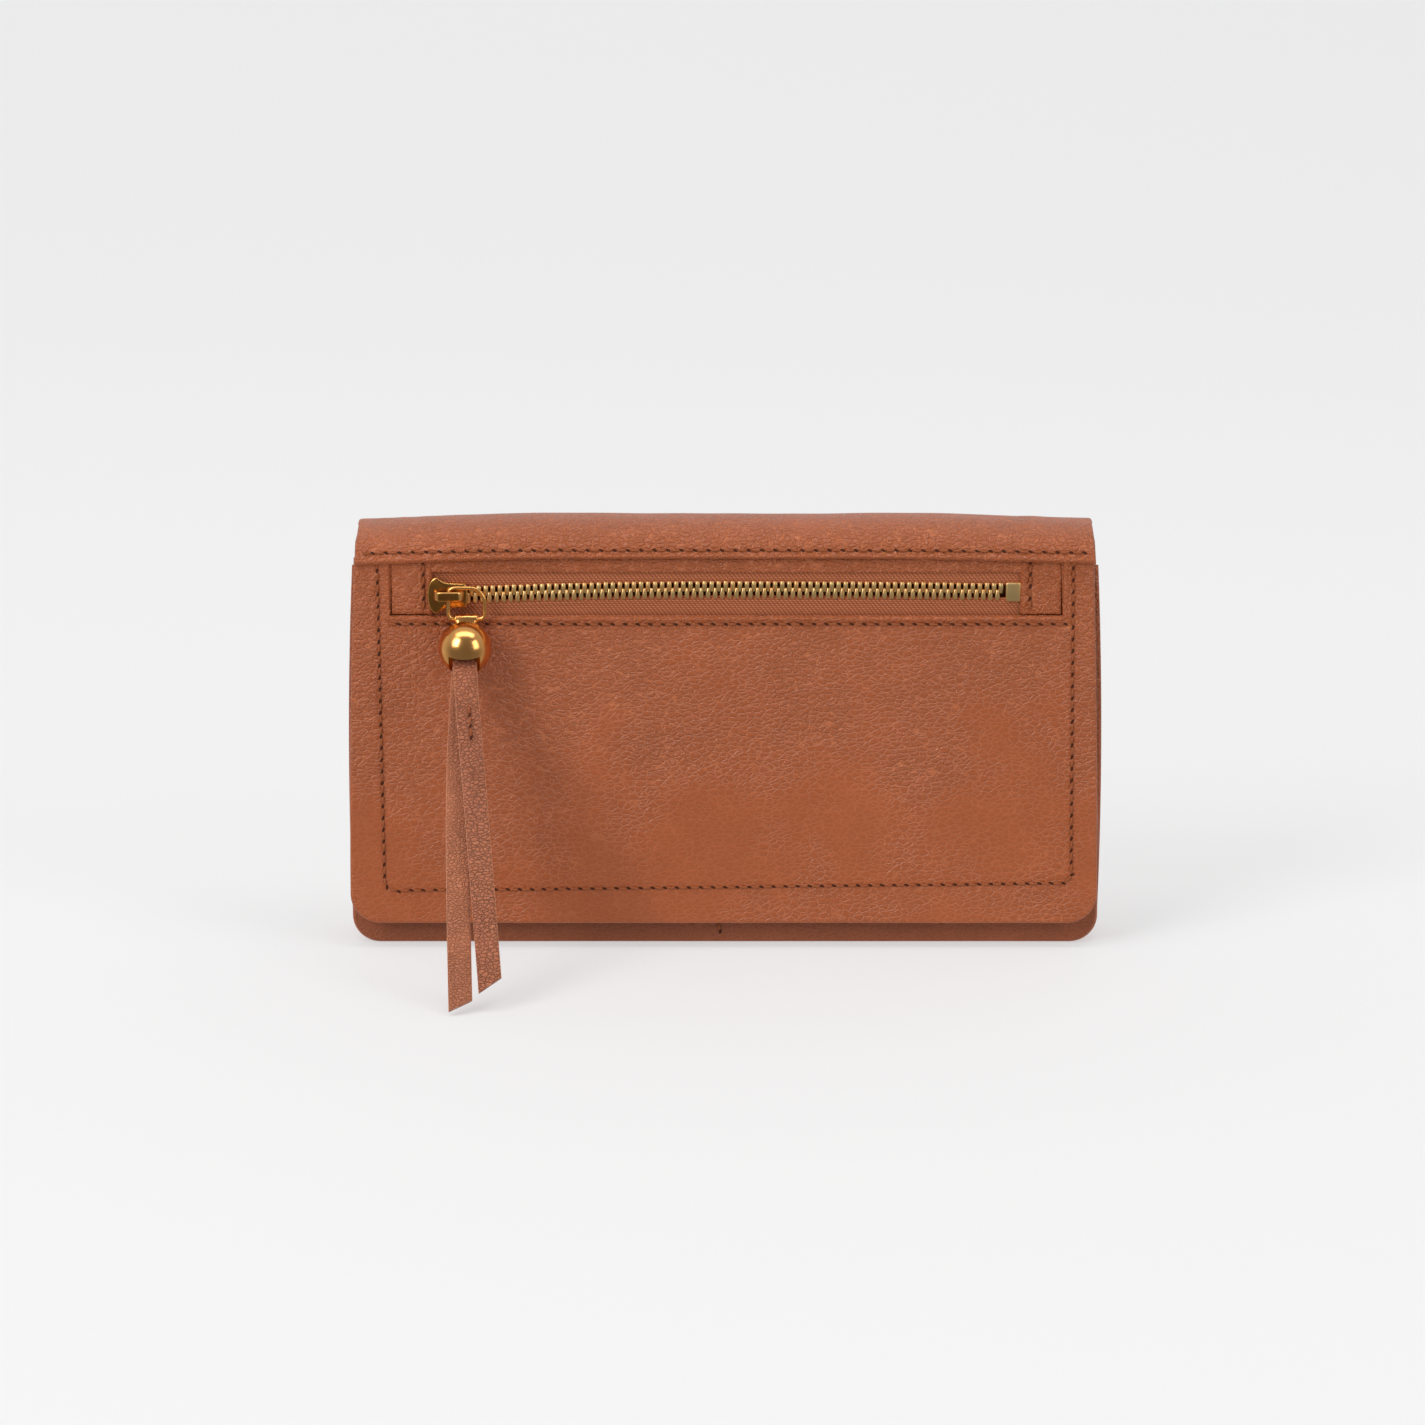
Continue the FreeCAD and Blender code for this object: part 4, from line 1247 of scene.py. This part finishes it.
def gusset_path():
    """The pleats from back to front, rounded at every fold."""
    folds = [(93.0, 7.6), (85.2, 4.4), (92.3, 1.45), (85.2, -1.6), (92.8, -4.6)]
    fine = [folds[0]]
    for a, b, c in zip(folds, folds[1:], folds[2:]):
        start, stop = between(a, b, 0.72), between(b, c, 0.28)
        for t in spread(0.0, 1.0, 12):
            fine.append(between(between(start, b, t), between(b, stop, t), t))
    fine.append(folds[-1])
    return fine


def gusset(name, side):
    path = gusset_path()

    def place(layer, z, k):
        inset = max(94.2 - BODY.half(z), 0.0) if z < 8 else 0.0
        x, y = path[k]
        nx, ny = path_normal(path, k)
        off = (0.32 if layer == 0 else -0.32) + 0.08 * wave(x * 2, z, 12.0, 5.0 + side)
        return side * (x + nx * off - inset), y + ny * off, z

    zs = spread(2.0, 8.0, 8) + spread(8.0, 96.5, 50)[1:]
    return two_skins(name, zs, range(len(path)), place, SHADED_INNER, merge=0.0)


for label, side in (("left", -1), ("right", 1)):
    put(gusset("pleat_" + label, side), "wallet_body", "inner_leather", "gusset_" + label)


# ---------------- linings of the flap

LINING_ARCH = (-0.95, 8.85, 7.2)
LINING_HALF = 91.4
rear = [(7.9, z) for z in spread(97.5, 101.0, 8)] + even_path(arch(*LINING_ARCH, 120, 0.0, 0.5), 0.5)
halves = [LINING_HALF] * len(rear)
lining = profile_sheet("roll_lining_rear", rear, halves, 0.55, LINING, 90, flat, (True, False), inner_droop)
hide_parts("roll_lining")
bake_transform(lining)

fore = even_path(arch(*LINING_ARCH, 120, 0.5, 1.0), 0.5)
low = Outline(92.6, 92.2, 90.9, 8.2, 101.2, 7.6)
wall = [(-9.8, z) for z in spread(100.8, low.z0 + low.corner, 70)]
wall += [(-9.8, low.z0 + low.corner * (1 - math.sin(math.pi / 2 * i / 12))) for i in range(1, 13)]
halves = [LINING_HALF] * len(fore) + [low.half(z) for y, z in wall]
waves = uneven(0.12, 25.0, 6.0)
path = fore + wall
lining = profile_sheet("flap_lining_cloth", path, halves, 0.55, LINING, 110, waves, (False, True), inner_droop)
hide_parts("flap_lining")
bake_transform(lining)


def bag():
    """The thin cloth of the coin pocket, folded at its lower edge."""
    path = [(-9.95, z) for z in spread(101.0, 35.5, 50)]
    path += [(-10.95 + math.cos(a), 35.2 - math.sin(a)) for a in spread(0.0, math.pi, 10)]
    path += [(-11.98, z) for z in spread(35.6, 82.6, 40)]
    halves = [79.5] * len(path)
    return profile_sheet("coin_pocket_cloth", path, halves, 0.2, LINING, 60, uneven(0.06, 12.0, 2.0))


put(bag(), "flap", "lining_cloth", "pocket_bag")

for name in ("body_magnets", "flap_magnets"):
    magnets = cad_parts[name].data
    magnets.materials.clear()
    magnets.materials.append(STEEL)


# ---------------- stage, light and camera

def stage_floor():
    """A pale floor that turns up into a backdrop far behind the object. Its sizes are in metres."""
    path = [(y, 0.0) for y in (-3.0, -1.0, -0.4, -0.2, -0.1, 0.0, 0.1, 0.3, 0.8)]
    path += [(0.8 + 1.2 * math.sin(a), 1.2 * (1 - math.cos(a))) for a in spread(0.0, math.pi / 2, 16)[1:]]
    path.append((2.0, 4.0))
    xs = (-4.0, -1.0, 0.0, 1.0, 4.0)
    below = 0.00002
    points = [(x / MM, y / MM, (z - below) / MM) for y, z in path for x in xs]
    faces = []
    for i in range(len(path) - 1):
        for j in range(len(xs) - 1):
            a = i * len(xs) + j
            faces.append((a, a + 1, a + 1 + len(xs), a + len(xs)))
    mat, tree, shader, coord = new_material("floor_paper")
    tree.nodes.remove(coord.node)
    tree.feed(shader, {
        "Base Color": grey(0.36),
        "Roughness": 0.9,
        "Emission Color": grey(1),
        "Emission Strength": 0.5,
        "Specular IOR Level": 0.2,
    })
    return add_object("floor", points, faces, mat)


floor = stage_floor()
floor.visible_glossy = False
floor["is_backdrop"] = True


def aim(obj, place, target):
    """Puts a light or the camera at a place, turned to look at a target."""
    obj.location = place
    obj.rotation_euler = (Vector(target) - Vector(place)).to_track_quat("-Z", "Y").to_euler()


for name, place, size, power in (
    ("key_left", (-2.0, -2.0, 1.95), (1.4, 1.8), 54.0),
    ("fill_right", (2.4, -1.8, 1.35), (1.2, 1.8), 21.0),
    ("top", (0.0, -0.5, 2.55), (3.2, 0.8), 27.0),
):
    light = bpy.data.lights.new(name, "AREA")
    light.shape = "RECTANGLE"
    light.size, light.size_y = size
    light.energy = power
    aim(link(name, light), place, (0, 0, 0.05))


def studio_world():
    """Bright behind and above, dim in front, so that polished metal keeps some depth."""
    made = bpy.data.worlds.new("studio")
    made.use_nodes = True
    tree = Tree(made.node_tree)
    direction = tree.nodes.new("ShaderNodeTexCoord").outputs["Generated"]
    behind = tree.math("MULTIPLY_ADD", tree.add("SeparateXYZ", {0: direction}, "Y"), 0.5, 0.5)
    levels = [(0.0, grey(0.17)), (0.27, grey(0.20)), (0.46, grey(0.42)), (0.8, grey(0.72))]
    level = tree.ramp(behind, levels)
    tree.feed(tree.nodes["Background"], {"Color": level, "Strength": 1.0})
    return made


scene = bpy.context.scene
scene.world = studio_world()
scene.view_settings.view_transform = "Standard"
scene.view_settings.look = "None"

elevation = math.radians(15.0)
target = Vector((-0.003176, 0.0, 0.058217))
place = target + Vector((0, -math.cos(elevation), math.sin(elevation))) * 1.5
data = bpy.data.cameras.new("camera")
data.sensor_width = 36.0
data.lens = 18.0 / math.tan(math.radians(13.7 / 2))
data.clip_end = 20.0
camera = link("camera", data)
aim(camera, place, target)
scene.camera = camera

low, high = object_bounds()
